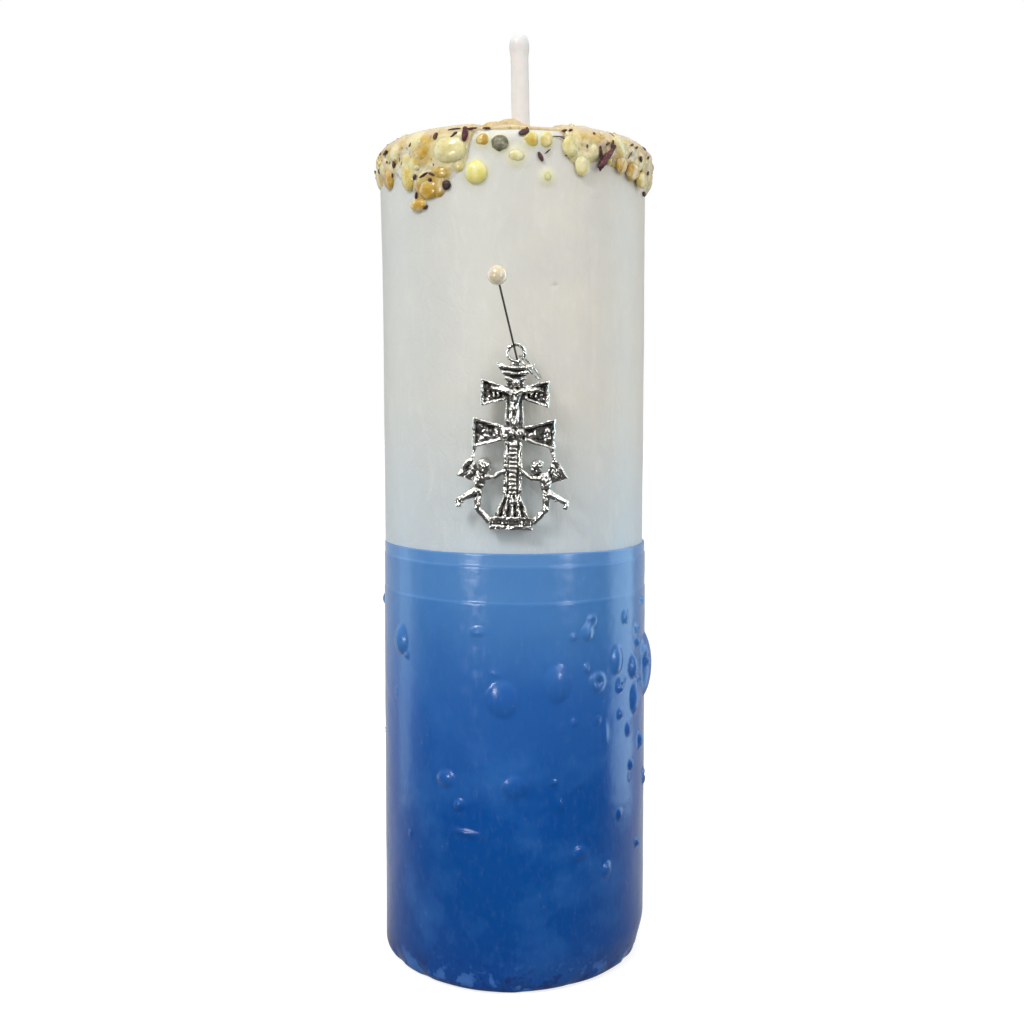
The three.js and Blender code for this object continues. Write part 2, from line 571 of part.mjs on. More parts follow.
function crustSection(deg) {
  const body = pillarRadius(deg, PILLAR_TOP);
  const covered = ramp(lapDrop(deg), 0, 3);
  const bed = bedOff(deg) - FIT;
  const rimTop = FIT + CRUST_SKIN + CRUST_RIM_T * covered;
  const along = (share, off, k) => onLap(deg, share, FIT + off + crustNoise(deg, k) * (0.4 + 0.6 * covered));
  const onTop = (share, high, k) => [
    body * share, PILLAR_TOP + high + crustNoise(deg, k) * min(1, share * 2),
  ];
  const flat = 1 - rimRound(deg) / body;
  return [
    onLap(deg, 0, FIT),
    along(0.03, (CRUST_SKIN + bed) / 2, 0),
    along(0.25, bed * 0.95, 1),
    along(0.55, bed, 2),
    along(0.85, max(bed * 0.6, CRUST_SKIN + CRUST_RIM_T * covered), 3),
    onTop(flat * 0.98, rimTop, 4),
    onTop(flat * 0.86, CRUST_T * (0.55 + 0.3 * covered), 5),
    onTop(0.66, CRUST_T, 6),
    onTop(0.46, CRUST_T * 0.95, 7),
    onTop(0.3, CRUST_T * 0.9, 8),
    [body * 0.04, PILLAR_TOP + CRUST_T * 0.9],
    [body * 0.04, PILLAR_TOP + SEAT_FIT],
    [body * (flat - 0.03), PILLAR_TOP + SEAT_FIT],
    onLap(deg, 0.8, 0.1),
    onLap(deg, 0.4, 0.1),
  ];
}

// Resin lumps run into the crust: nearly half of them down its lap, the rest over the top
const lumps = Array.from({ length: LUMPS }, (_, i) => {
  const deg = ((i * LUMP_TURN) % 360) - 180;
  const way = (i * LUMP_STEP) % 1;
  const wide = LUMP_LEAST + ((LUMP_MOST - LUMP_LEAST) * ((i * 7) % 10)) / 9;
  if (way < 0.45) {
    if (lapDrop(deg) < 4) return null;
    const [r, z] = onLap(deg, 0.14 + 1.7 * way, bedOff(deg) + LUMP_OUT - wide * 0.3);
    return pebble(onSide(deg, r, z), [wide, wide * 0.6, wide * 0.8], i, 0.15, 0);
  }
  const r = PILLAR_R * sqrt(0.82 - 0.75 * (way - 0.45) / 0.55);
  const z = PILLAR_TOP + CRUST_T + LUMP_OUT - wide * 0.3;
  return pebble(onSide(deg, r, z), [wide, wide * 0.9, wide * 0.6], i, 0.15, 0);
}).filter(Boolean);
const crustSections = turns.map((deg) => crustSection(deg).map(([r, z]) => around(deg, r, z)));
const crustGrown = joined([solid(skin(crustSections, true)), ...lumps]);
let crust = crustGrown.subtract(solid(turned(pillarRows.map(([radius, height], i) => [
  (deg) => radius(deg) + (i > 2 ? FIT - 0.02 : 0), height,
])))).subtract(wickHoleInCrust);

// Pin and its pearl
const pinBar = (r, from, to, sides = 8) => bar([from, to], r, sides);
pieces.set('pin_shaft', {
  body: pinBar(PIN_R, pinTip, pinHeadAt),
  color: '#4c4a48', roughness: 0.3, metalness: 1,
});
pieces.set('pin_head', {
  body: solid(new THREE.SphereGeometry(PIN_HEAD_R, 16, 10).translate(...pinHeadAt.toArray()))
    .subtract(pinBar(PIN_R + PIN_FIT, pinTip, pinHeadAt.clone().addScaledVector(pinAim, 0.05), 8)),
  color: '#efe9cf', roughness: 0.15,
});
const pinHole = pinBar(PIN_R + PIN_FIT, pinTip.clone().addScaledVector(pinAim, -0.3), pinHeadAt, 8);
pillar = pillar.subtract(pinHole);

// The stuck pieces, each cleared by the ones before it, then seated in the crust and the pillar
const placed = [];
for (const row of stuck) {
  let body = row.make(0);
  for (const other of placed) body = body.subtract(other.room);
  const room = row.make(FIT);
  placed.push({ room });
  crust = crust.subtract(room);
  pillar = pillar.subtract(room);
  pieces.set(row.name, { body, ...KINDS[row.kind] });
}
pieces.set('resin_crust', { body: crust, color: '#d9c5a4', roughness: 0.6, detail: 0.15 });
pieces.set('white_wax_pillar', { body: pillar, color: '#e6e6e0', roughness: 0.45, detail: 0.1 });

// Cross casting, in its own plane: x right, y up, z towards the viewer
const slab = (points, t, z = 0, bevel = 0.12) => {
  const shape = new THREE.Shape(points.map(([x, y]) => new THREE.Vector2(x, y)));
  const geometry = new THREE.ExtrudeGeometry(shape, {
    depth: t - 2 * bevel, bevelEnabled: bevel > 0, bevelSize: bevel, bevelThickness: bevel,
    bevelOffset: -bevel, bevelSegments: 1, steps: 1,
  });
  return solid(geometry.translate(0, 0, z - t / 2 + bevel));
};
const block = (w, h, t, x, y, z) => solid(new THREE.BoxGeometry(w, h, t).translate(x, y, z));
const blob = (x, y, z, rx, ry, rz, detail = 1) => solid(
  new THREE.IcosahedronGeometry(1, detail).scale(rx, ry, rz).translate(x, y, z),
);
const v3 = (x, y, z = 0) => new THREE.Vector3(x, y, z);

// A bar of the cross: wide ends, sunk panels with raised borders
function crossBar({ at, width, end, middle }) {
  const w = width / 2;
  const waist = SHAFT_W / 2 + 0.4;
  const outline = [
    [w, at + end / 2], [waist, at + middle / 2], [-waist, at + middle / 2], [-w, at + end / 2],
    [-w, at - end / 2], [-waist, at - middle / 2], [waist, at - middle / 2], [w, at - end / 2],
  ];
  let body = slab(outline, PLATE_T);
  for (const s of [-1, 1]) {
    const inner = waist + BORDER * 0.6;
    const outer = w - BORDER;
    const panel = [
      [s * inner, at + middle / 2 - BORDER * 0.8], [s * outer, at + end / 2 - BORDER * 1.3],
      [s * outer, at - end / 2 + BORDER * 1.3], [s * inner, at - middle / 2 + BORDER * 0.8],
    ];
    if (s > 0) panel.reverse();
    body = body.subtract(slab(panel, PANEL_SINK * 2, PLATE_T / 2, 0));
    // a raised bead round the end, and three strokes across the panel, as the casting has
    const z = PLATE_T / 2 - 0.1;
    const up = end / 2 - EDGE_BEAD * 0.8;
    body = body.add(bar([v3(s * waist, at + middle / 2 - 0.2, z), v3(s * (w - EDGE_BEAD * 0.8), at + up, z),
      v3(s * (w - EDGE_BEAD * 0.8), at - up, z), v3(s * waist, at - middle / 2 + 0.2, z)], EDGE_BEAD, 6));
    for (const k of [0.25, 0.5, 0.75]) {
      const x = s * (inner + (outer - inner) * k);
      const h = (middle + (end - middle) * k) * 0.42;
      body = body.add(bar([v3(x - s * 0.25, at - h / 2, z), v3(x + s * 0.2, at + h / 2, z)], 0.34, 5));
    }
  }
  return body;
}

// A small winged figure, its near hand on the shaft and one foot on the base
function wingedFigure(side) {
  const x = (d) => side * d;
  const limb = (points, r0, r1) => bar(points, (t) => r0 + (r1 - r0) * t, 6);
  const hip = FIGURE_HEAD - 5.4;
  const head = FIGURE_X - 1.3 - (side > 0 ? RIGHT_HEAD_IN : 0);
  return joined([
    blob(x(head), FIGURE_HEAD, 0.2, FIGURE_HEAD_R, FIGURE_HEAD_R * 1.05, FIGURE_HEAD_R),
    blob(x(head + 0.4), FIGURE_HEAD + 0.9, -0.1, 1.35, 0.85, 1.25),
    limb([v3(x(head + 0.2), FIGURE_HEAD - 0.8, 0), v3(x(FIGURE_X - 0.3), FIGURE_HEAD - 2.4, 0)], 0.7, 0.9),
    blob(x(FIGURE_X - 0.1), FIGURE_HEAD - 3.1, 0, 1.35, 2.4, FIGURE_T / 2 + 0.2),
    blob(x(FIGURE_X + 0.4), hip, 0, 1.3, 1.3, FIGURE_T / 2 + 0.1),
    limb([v3(x(FIGURE_X - 1.2), FIGURE_HEAD - 2.2, 0.3), v3(x(FIGURE_X - 3), FIGURE_HEAD - 2.3, 0.5),
      v3(x(SHAFT_W / 2 - 0.2), FIGURE_HEAD - 0.9, 0.2)], 0.8, 0.62),
    limb([v3(x(FIGURE_X + 0.5), hip, 0.1), v3(x(FIGURE_X + 2.4), hip - 0.9, 0.3),
      v3(x(FIGURE_X + 4.6), hip - 2, 0)], 1.1, 0.68),
    limb([v3(x(FIGURE_X + 4.4), hip - 1.8, 0), v3(x(FIGURE_X + 4.2), hip - 3.4, 0.2)], 0.75, 0.6),
    limb([v3(x(FIGURE_X + 0.2), hip - 0.4, 0), v3(x(FIGURE_X + 0.1), hip - 3.4, 0.2),
      v3(x(BASE_W / 2 + 0.3), BASE_TOP - 0.9, 0), v3(x(BASE_W / 2 - 0.6), BASE_TOP - 1.2, 0)], 0.98, 0.72),
    slab(
      [[0, -1.2], [1.2, 1.5], [2.6, 1.3], [4.7, -2.2], [3.4, -2.4], [2, -3.1], [0.6, -3.4]]
        .map(([dx, dy]) => [x(FIGURE_X + dx), FIGURE_HEAD + dy]),
      1.1, -0.2, 0.1,
    ),
    ...[0, 1, 2].map((k) => limb([v3(x(FIGURE_X + 0.9 + 0.35 * k), FIGURE_HEAD + 0.4 - k * 0.9, 0.15),
      v3(x(FIGURE_X + 4.2 - 0.5 * k), FIGURE_HEAD - 1.9 - 0.35 * k, 0.1)], 0.5, 0.32)),
    limb([v3(x(LOWER_BAR.width / 2 - 0.7), LOWER_BAR.at - LOWER_BAR.end / 2 + 0.4, 0),
      v3(x(FIGURE_X + 1.6), FIGURE_HEAD + 1.3, -0.1)], 0.52, 0.52),
  ]);
}

const crownTaper = (CROWN_W - CROWN_NECK_W) / 2;
const crownHalf = [
  [CROWN_NECK_W / 2, CROWN_FOOT - 2], [CROWN_NECK_W / 2, CROWN_FOOT + 0.8],
  [CROWN_W / 2 - 0.5, CROWN_TOP - 1], [CROWN_W / 2, CROWN_TOP + 0.15], [crownTaper * 0.5, CROWN_TOP - 0.5],
];
const crown = slab([...crownHalf, ...crownHalf.map(([x, y]) => [-x, y]).reverse()], PLATE_T - 0.08);
const crownRidges = [0.55, 1.75, 2.95].map((d, i) => bar([
  v3(-CROWN_W / 2 + 0.5 + d * 0.45, CROWN_TOP - d - 0.15, PLATE_T / 2 - 0.1),
  v3(0, CROWN_TOP - d - 0.45, PLATE_T / 2),
  v3(CROWN_W / 2 - 0.5 - d * 0.45, CROWN_TOP - d - 0.15, PLATE_T / 2 - 0.1),
], 0.38 - i * 0.03, 6));
const loopSteps = 20;
const loop = bar(Array.from({ length: loopSteps }, (_, i) => {
  const a = (2 * PI * i) / loopSteps;
  return v3(LOOP_R * cos(a), LOOP_R * sin(a));
}), LOOP_WIRE, 8, true);
const shaftTop = CROWN_FOOT - 1;
const shaft = slab([
  [-SHAFT_W / 2, shaftTop], [-SHAFT_W / 2 - 0.1, SKIRT_TOP], [-SKIRT_FOOT_W / 2, BASE_TOP - 0.5],
  [SKIRT_FOOT_W / 2, BASE_TOP - 0.5], [SHAFT_W / 2 + 0.1, SKIRT_TOP], [SHAFT_W / 2, shaftTop],
], PLATE_T - 0.16);
const ribTop = LOWER_BAR.at - LOWER_BAR.middle / 2 - 1;
const ribs = Array.from({ length: RIBS }, (_, i) => {
  const y = ribTop + ((SKIRT_TOP + 0.4 - ribTop) * i) / (RIBS - 1);
  return bar([v3(-0.8, y, PLATE_T / 2), v3(0.8, y, PLATE_T / 2)], 0.4, 6);
});
const rails = [-1, 1].map((s) => bar([v3(s * (SHAFT_W / 2 - 0.35), ribTop + 0.6, PLATE_T / 2 - 0.1),
  v3(s * (SHAFT_W / 2 - 0.3), SKIRT_TOP, PLATE_T / 2 - 0.1)], 0.46, 6));
const flutes = Array.from({ length: FLUTES }, (_, i) => {
  const k = i / (FLUTES - 1) - 0.5;
  const z = PLATE_T / 2;
  return bar([v3(k * (SHAFT_W - 0.9), SKIRT_TOP, z - 0.1), v3(k * SKIRT_W, (SKIRT_TOP + BASE_TOP) / 2, z),
    v3(k * (SKIRT_FOOT_W - 1), BASE_TOP, z + 0.1)], 0.48, 6);
});
const baseBlock = joined([
  block(BASE_W - 0.8, BASE_TOP - BASE_FOOT - 0.6, BASE_T, 0, (BASE_TOP + BASE_FOOT) / 2, 0),
  block(BASE_W, 0.8, BASE_T + 0.3, 0, BASE_FOOT + 0.4, 0),
  block(BASE_W - 0.2, 0.6, BASE_T + 0.1, 0, BASE_TOP - 0.3, 0),
]);
// Plain relief figure on the upper bar and shaft
const reliefZ = PLATE_T / 2 + 0.1;
const armReach = UPPER_BAR.width / 2 - 2;
const relief = joined([
  blob(0.1, UPPER_BAR.at + 2.2, reliefZ + 0.2, 0.8, 0.95, 0.7),
  blob(0, UPPER_BAR.at - 0.9, reliefZ, 1.25, 2.1, 0.8),
  bar([[-armReach, 0.9, -0.2], [-1.5, 0.5, 0.1], [0, -0.1, 0.1], [1.5, 0.5, 0.1], [armReach, 0.9, -0.2]]
    .map(([x, y, z]) => v3(x, UPPER_BAR.at + y, reliefZ + z)), (t) => 0.45 + 0.4 * sin(PI * t), 6),
  bar([v3(-0.35, UPPER_BAR.at - 2.2, reliefZ), v3(-0.55, UPPER_BAR.at - 4.6, reliefZ + 0.2),
    v3(-0.3, UPPER_BAR.at - 7, reliefZ)], 0.66, 6),
  bar([v3(0.35, UPPER_BAR.at - 2.2, reliefZ), v3(0.5, UPPER_BAR.at - 4.6, reliefZ + 0.2),
    v3(0.3, UPPER_BAR.at - 7, reliefZ)], 0.66, 6),
]);
// The folded ends of its cloth, two round lumps on the lower bar
const knot = joined([
  blob(-1.3, LOWER_BAR.at + 0.4, PLATE_T / 2, 1.6, 1.15, 0.85),
  blob(1.3, LOWER_BAR.at + 0.1, PLATE_T / 2, 1.2, 0.95, 0.75),
]);
const loopFoot = blob(0, (CROWN_TOP - LOOP_R) / 2 - 0.35, 0, 1.2, 0.65, 0.55);
const casting = joined([
  crown, ...crownRidges, loop, loopFoot, crossBar(UPPER_BAR), crossBar(LOWER_BAR), shaft,
  ...ribs, ...rails, ...flutes, baseBlock, relief, knot, wingedFigure(-1), wingedFigure(1),
]);
pieces.set('cross_casting', {
  body: casting.transform(crossFrame.toArray()),
  color: '#b9b6b0', roughness: 0.25, metalness: 1, detail: 0.08,
});

// Jump ring, hanging on the loop with its ends a little open
const hold = v3(LOOP_R * cos(rad(RING_HOLD)), LOOP_R * sin(rad(RING_HOLD)));
const ringAlong = v3(cos(rad(RING_ALONG)), sin(rad(RING_ALONG)));
const ringSide = ringAlong.clone().cross(v3(0, 0, 1));
const ringOut = v3(0, 0, cos(rad(RING_TURN))).addScaledVector(ringSide, sin(rad(RING_TURN)));
const ringCentre = hold.clone()
  .addScaledVector(ringAlong, (RING_R - RING_SLACK) * cos(rad(RING_TILT)))
  .addScaledVector(ringOut, (RING_R - RING_SLACK) * sin(rad(RING_TILT)));
const ringSteps = 30;
const ringOpenAt = 62;       // degrees from the ring's lower end to its opening
const ringPoints = Array.from({ length: ringSteps + 1 }, (_, i) => {
  const a = rad(ringOpenAt + RING_GAP / 2 + ((360 - RING_GAP) * i) / ringSteps);
  return ringCentre.clone().addScaledVector(ringAlong, RING_R * cos(a))
    .addScaledVector(ringOut, RING_R * sin(a));
});
pieces.set('jump_ring', {
  body: bar(ringPoints, RING_WIRE, 8).transform(crossFrame.toArray()),
  color: '#bdbab2', roughness: 0.2, metalness: 1,
});

const group = new THREE.Group();
for (const [name, { body, color, roughness, metalness = 0, detail = 0.02 }] of pieces) {
  const look = new THREE.MeshStandardMaterial({ color, roughness, metalness });
  const mesh = new THREE.Mesh(toGeometry(biggest(body.asOriginal().simplify(detail))), look);
  mesh.name = name;
  group.add(mesh);
}

export default group;
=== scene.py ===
"""Prayer candle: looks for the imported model, laid out as a Blender add-on."""

import json
import math
import random

import bmesh
import bpy
import numpy as np
from mathutils import Matrix, Vector
from mathutils.bvhtree import BVHTree


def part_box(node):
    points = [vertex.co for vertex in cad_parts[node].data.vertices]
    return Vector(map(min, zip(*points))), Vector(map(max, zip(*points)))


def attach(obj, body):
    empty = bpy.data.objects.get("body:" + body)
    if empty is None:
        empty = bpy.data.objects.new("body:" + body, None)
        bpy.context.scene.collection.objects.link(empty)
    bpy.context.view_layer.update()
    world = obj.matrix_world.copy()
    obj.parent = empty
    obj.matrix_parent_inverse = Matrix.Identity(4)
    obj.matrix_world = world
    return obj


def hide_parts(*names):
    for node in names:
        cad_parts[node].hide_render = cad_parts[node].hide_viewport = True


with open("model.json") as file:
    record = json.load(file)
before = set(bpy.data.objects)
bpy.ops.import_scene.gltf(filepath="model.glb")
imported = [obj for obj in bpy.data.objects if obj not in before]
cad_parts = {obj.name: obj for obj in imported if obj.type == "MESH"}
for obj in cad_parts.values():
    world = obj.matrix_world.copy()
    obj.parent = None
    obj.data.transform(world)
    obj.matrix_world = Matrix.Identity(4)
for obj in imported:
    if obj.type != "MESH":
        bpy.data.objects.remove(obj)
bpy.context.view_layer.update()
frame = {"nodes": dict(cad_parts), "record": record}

bl_info = {
    "name": "Prayer candle",
    "version": (1, 0, 0),
    "blender": (4, 5, 0),
    "location": "View3D > Sidebar > Candle",
    "description": "Dresses the candle's solids with wax, resin and cast metal",
    "category": "Add Mesh",
}

MM = 0.001
PILLAR_RADIUS = 30.0


# Sizes and colours
def linear(code):
    """An sRGB hex colour as linear red, green and blue."""
    parts = [int(code[i:i + 2], 16) / 255 for i in (1, 3, 5)]
    return [c / 12.92 if c <= 0.04045 else ((c + 0.055) / 1.055) ** 2.4 for c in parts]


def length(name, text, value):
    return bpy.props.FloatProperty(
        name=name, description=text, default=value * MM, min=0.0, unit="LENGTH", precision=4)


def colour(name, text, code):
    return bpy.props.FloatVectorProperty(
        name=name, description=text, default=linear(code), min=0.0, max=1.0, size=3, subtype="COLOR")


class WaxSettings(bpy.types.PropertyGroup):
    """Sizes and colours of the white pillar and its blue dip."""
    radius: length("Pillar radius", "Radius of the white pillar", PILLAR_RADIUS)
    top: length("Pillar top", "Height of the white wax under the crust", 185.4)
    rim: length("Rim rounding", "Rounding of the pillar's top edge", 2.2)
    sag: length("Rim sag", "How much rounder the top edge is at the sides", 2.3)
    flare: length("Left flare", "How far the wax leans out at the top left", 0.5)
    coat_top: length("Coat top", "Height of the blue coat's upper edge", 97.3)
    coat_floor: length("Coat floor", "Thickness of the blue coat under the pillar", 2.0)
    coat_depth: length("Coat depth", "How deep the coat reaches inside the pillar's face", 1.1)
    proud: length("Coat edge", "How far the coat's upper edge stands out", 0.3)
    base_proud: length("Coat foot", "How far the coat stands out at the foot", 0.8)
    shift: length("Coat shift", "How far the coat hangs to the right", 0.25)
    foot: length("Foot rounding", "Rounding of the coat's foot", 2.4)
    white: colour("White wax", "Colour of the plain wax", "#d0d1ca")
    # painted light: warmer and brighter towards the right, where the side lamp falls
    painted_warm_light: colour("White wax, warm side", "Colour of the plain wax towards the right", "#dad3c5")
    # painted light: bluer just over the coat, standing in for light bounced from the blue
    painted_blue_bounce: colour("White wax over blue", "Colour of the plain wax just over the blue", "#bcc9d1")
    blue_top: colour("Blue, thin coat", "Colour of the first, thin dip", "#5b8cc4")
    blue_middle: colour("Blue, middle", "Colour of the coat a third of the way down", "#235ca6")
    blue_deep: colour("Blue, deep coat", "Colour of the full coat", "#034a96")


class CrustSettings(bpy.types.PropertyGroup):
    """Sizes and colours of the crust round the top."""
    thick: length("Crust thickness", "Thickness of the crust on top", 1.7)
    skin: length("Crust skin", "Thickness of the wax that carries the lap", 0.25)
    lap: length("Lap thickness", "Thickness of the crust over the side", 0.35)
    lap_right: length("Lap, right side", "How much thicker the crust is on the right", 0.9)
    rim: length("Crust on the rim", "Thickness of the crust over the rim", 0.5)
    fit: length("Fit", "Clearance between the crust and the wax", 0.3)
    lump: length("Crust lumps", "How far its lumps stand out", 0.55)
    wax: colour("Crust wax", "Colour of the plain wax between the lumps", "#d8d5ca")
    cream: colour("Creamy wax", "Colour of the wax that is full of resin", "#dccfa0")
    pink: colour("Ground resin", "Colour of the ground resin in the bed", "#c8b185")
    brown: colour("Brown crumb", "Colour of the brown crumbly wax", "#a78660")
    amber: colour("Amber resin", "Colour of the amber lumps", "#c9a440")
    gold: colour("Gold resin", "Colour of the darkest amber", "#ad8a2c")
    tear: colour("Resin tears", "Colour of the yellow tears", "#d8c678")
    pale: colour("Pale tears", "Colour of the pale tears", "#dcd29c")
    plum: colour("Plum petal", "Colour of the purple petals", "#866660")
    bark: colour("Bark and petals", "Colour of the dark flakes", "#4e2e2a")


class MetalSettings(bpy.types.PropertyGroup):
    """Sizes and colours of the cross, ring and pin."""
    grain: length("Casting detail", "Size of the smallest cast detail", 0.13)
    silver: colour("Cast metal", "Colour of the bright casting", "#e2e0da")
    recess: colour("Dark recess", "Colour of the darkened recesses", "#2b2119")
    steel: colour("Pin steel", "Colour of the pin", "#4d4a47")
    pearl: colour("Pearl", "Colour of the pin's head", "#ece5c9")


# Mesh helpers
def at_angle(deg, r, z):
    """A point round the candle in millimetres: 0 degrees is the front, positive to the right."""
    a = math.radians(deg)
    return Vector((r * math.sin(a), -r * math.cos(a), z))


def ramp(x, a, b):
    t = np.clip((x - a) / (b - a), 0.0, 1.0)
    return t * t * (3 - 2 * t)


def wave(angle, seed, lobes):
    """The CAD's slow wave in the angle round the candle."""
    return sum(np.sin(angle * (lobes * k + k - 1) + seed * k * 1.7) / k for k in (1, 2, 3)) / 1.8


# Numbers that scatter the corners of the noise's cells
CORNER_FACTORS = (73856093, 19349663, 83492791)
SEED_FACTOR = 2654435
SCATTER_FACTOR = 1274126177
SEED_SHIFT = 17.31


def mottle(points, size, seed):
    """Smooth noise from -1 to 1 with lumps of a given size, for an array of points."""
    p = points / size + seed * SEED_SHIFT
    cell = np.floor(p).astype(np.int64)
    f = p - cell
    f = f * f * (3 - 2 * f)
    total = np.zeros(len(p))
    for corner in range(8):
        step = np.array([(corner >> k) & 1 for k in range(3)])
        x, y, z = ((cell + step) * CORNER_FACTORS).T
        h = x ^ y ^ z ^ (seed * SEED_FACTOR)
        h = (h ^ (h >> 13)) * SCATTER_FACTOR & 0x7FFFFFFF
        value = ((h ^ (h >> 16)) & 0xFFFF) / 32767.5 - 1.0
        total += np.prod(np.where(step == 1, f, 1 - f), axis=1) * value
    return total


def turned(profile, steps):
    """A bmesh turned once round the upright axis from (radius, height) points in millimetres."""
    bm = bmesh.new()
    verts = [bm.verts.new((0.0, -r * MM, z * MM)) for r, z in profile]
    edges = [bm.edges.new(pair) for pair in zip(verts, verts[1:])]
    bmesh.ops.spin(bm, geom=verts + edges, cent=(0, 0, 0), axis=(0, 0, 1), angle=2 * math.pi,
                   steps=steps, use_merge=True)
    bmesh.ops.remove_doubles(bm, verts=bm.verts, dist=1e-7)
    return bm


def rows(z0, z1, gap):
    n = max(2, round(abs(z1 - z0) / gap))
    return [z0 + (z1 - z0) * i / n for i in range(1, n + 1)]


def reshape(bm, move):
    """Moves every vertex at once: move takes and gives an array of points in millimetres."""
    bm.verts.ensure_lookup_table()
    points = np.array([v.co for v in bm.verts]) / MM
    for v, p in zip(bm.verts, move(points) * MM):
        v.co = p


def finish_piece(bm, name, material, body="candle", stands_for=(), tidy=True):
    """Turns a bmesh into a piece that rides on a body and stands for CAD nodes."""
    if tidy:
        bmesh.ops.recalc_face_normals(bm, faces=bm.faces)
    mesh = bpy.data.meshes.new(name)
    bm.to_mesh(mesh)
    bm.free()
    mesh.materials.append(material)
    mesh.shade_smooth()
    piece = bpy.data.objects.new(name, mesh)
    bpy.context.scene.collection.objects.link(piece)
    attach(piece, body)
    if stands_for:
        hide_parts(*stands_for)
    return piece


def cad_copy(node):
    """A merged bmesh copy of a CAD node."""
    bm = bmesh.new()
    bm.from_mesh(frame["nodes"][node].data)
    bmesh.ops.remove_doubles(bm, verts=bm.verts, dist=2e-6)
    return bm


def subdivided(piece, levels):
    smooth = piece.modifiers.new("Smooth skin", "SUBSURF")
    smooth.levels = smooth.render_levels = levels


def bake_modifiers(piece):
    """Applies a piece's modifiers to its mesh."""
    graph = bpy.context.evaluated_depsgraph_get()
    mesh = bpy.data.meshes.new_from_object(piece.evaluated_get(graph))
    piece.modifiers.clear()
    old = piece.data
    piece.data = mesh
    bpy.data.meshes.remove(old)


def dress(node, material):
    """Gives a CAD node its material as it stands."""
    materials = frame["nodes"][node].data.materials
    materials.clear()
    materials.append(material)


# Material helpers
def add_node(tree, kind, settings=None, inputs=None, links=None):
    """Adds a node, sets its attributes and sockets, and links sockets from other nodes' outputs."""
    node = tree.nodes.new(kind)
    for key, value in (settings or {}).items():
        setattr(node, key, value)
    for key, value in (inputs or {}).items():
        node.inputs[key].default_value = value
    for key, source in (links or {}).items():
        tree.links.new(source, node.inputs[key])
    return node


def new_material(name):
    material = bpy.data.materials.new(name)
    material.use_nodes = True
    tree = material.node_tree
    tree.nodes.clear()
    out = tree.nodes.new("ShaderNodeOutputMaterial")
    shader = tree.nodes.new("ShaderNodeBsdfPrincipled")
    tree.links.new(shader.outputs["BSDF"], out.inputs["Surface"])
    place = tree.nodes.new("ShaderNodeTexCoord").outputs["Object"]
    return material, tree, shader, place


def rgba(value):
    return (*value[:3], 1.0)


def noise_node(tree, place, millimetres, detail=3.0, rough=0.5, distortion=0.0):
    return add_node(tree, "ShaderNodeTexNoise", None, {
        "Scale": 1000.0 / millimetres, "Detail": detail, "Roughness": rough, "Distortion": distortion,
    }, {"Vector": place}).outputs["Fac"]


def ramp_node(tree, value, stops):
    node = add_node(tree, "ShaderNodeValToRGB", None, None, {"Fac": value})
    elements = node.color_ramp.elements
    while len(elements) < len(stops):
        elements.new(0.5)
    for element, (at, col) in zip(elements, stops):
        element.position = at
        element.color = col if len(col) == 4 else rgba(col)
    return node.outputs["Color"]


def mix_colour(tree, factor, a, b, blend="MIX"):
    node = add_node(tree, "ShaderNodeMix", {"data_type": "RGBA", "blend_type": blend})
    for socket, value in ((node.inputs[0], factor), (node.inputs[6], a), (node.inputs[7], b)):
        if hasattr(value, "links"):
            tree.links.new(value, socket)
        else:
            socket.default_value = value if isinstance(value, float) else rgba(value)
    return node.outputs[2]


def grey(x):
    return (x, x, x)


def grey_ramp(tree, value, *stops):
    """A ramp of greys, from pairs of a place and a level."""
    return ramp_node(tree, value, [(at, grey(level)) for at, level in stops])


def map_range(tree, value, low, high, to_low=0.0, to_high=1.0):
    return add_node(tree, "ShaderNodeMapRange", None, {
        "From Min": low, "From Max": high, "To Min": to_low, "To Max": to_high,
    }, {"Value": value}).outputs["Result"]


def combine(tree, operation, a, b):
    """One number from two sockets."""
    return add_node(tree, "ShaderNodeMath", {"operation": operation}, None, {0: a, 1: b}).outputs["Value"]


def scaled(tree, value, factor, offset):
    """A socket's number times a factor, plus an offset."""
    return add_node(tree, "ShaderNodeMath", {"operation": "MULTIPLY_ADD"}, {1: factor, 2: offset}, {
        0: value}).outputs["Value"]


def split_axes(tree, place):
    """A place's X, Y and Z as sockets."""
    return add_node(tree, "ShaderNodeSeparateXYZ", None, None, {"Vector": place}).outputs


def stretched(tree, place, scale, turn=(0.0, 0.0, 0.0)):
    """A place scaled and turned, which draws a pattern out along its small axis."""
    return add_node(tree, "ShaderNodeMapping", None, {"Scale": scale, "Rotation": turn}, {
        "Vector": place}).outputs["Vector"]


def link_shader(tree, shader, **sources):
    """Links outputs to the shader's sockets, whose names have underscores for spaces."""
    for key, source in sources.items():
        tree.links.new(source, shader.inputs[key.replace("_", " ")])


def bumped(tree, shader, height, distance_mm, strength, normal=None):
    links = {"Height": height}
    if normal:
        links["Normal"] = normal
    bump = add_node(tree, "ShaderNodeBump", None, {
        "Strength": strength, "Distance": distance_mm * MM}, links)
    tree.links.new(bump.outputs["Normal"], shader.inputs["Normal"])
    return bump.outputs["Normal"]


def shader_values(shader, **values):
    for key, value in values.items():
        shader.inputs[key.replace("_", " ")].default_value = value


# Shapes shared with the CAD
def coat_top_at(wax, angle):
    """Height of the blue coat's wavy upper edge, in millimetres."""
    return (wax.coat_top / MM - 0.3 * (1 - np.cos(angle)) + 0.14 * wave(angle, 2, 2)
            - 0.15 * np.sin(angle) ** 3)


def pillar_radius_at(wax, angle, z):
    left = np.maximum(0, -np.sin(angle))
    return (wax.radius / MM + wax.flare / MM * left * ramp(z, 148, wax.top / MM)
            + 0.08 * wave(angle, 5 + z * 0.02, 2))


def rim_round_at(wax, angle):
    """Rounding of the pillar's top edge, in millimetres."""
    return wax.rim / MM + wax.sag / MM * np.sin(angle) ** 2


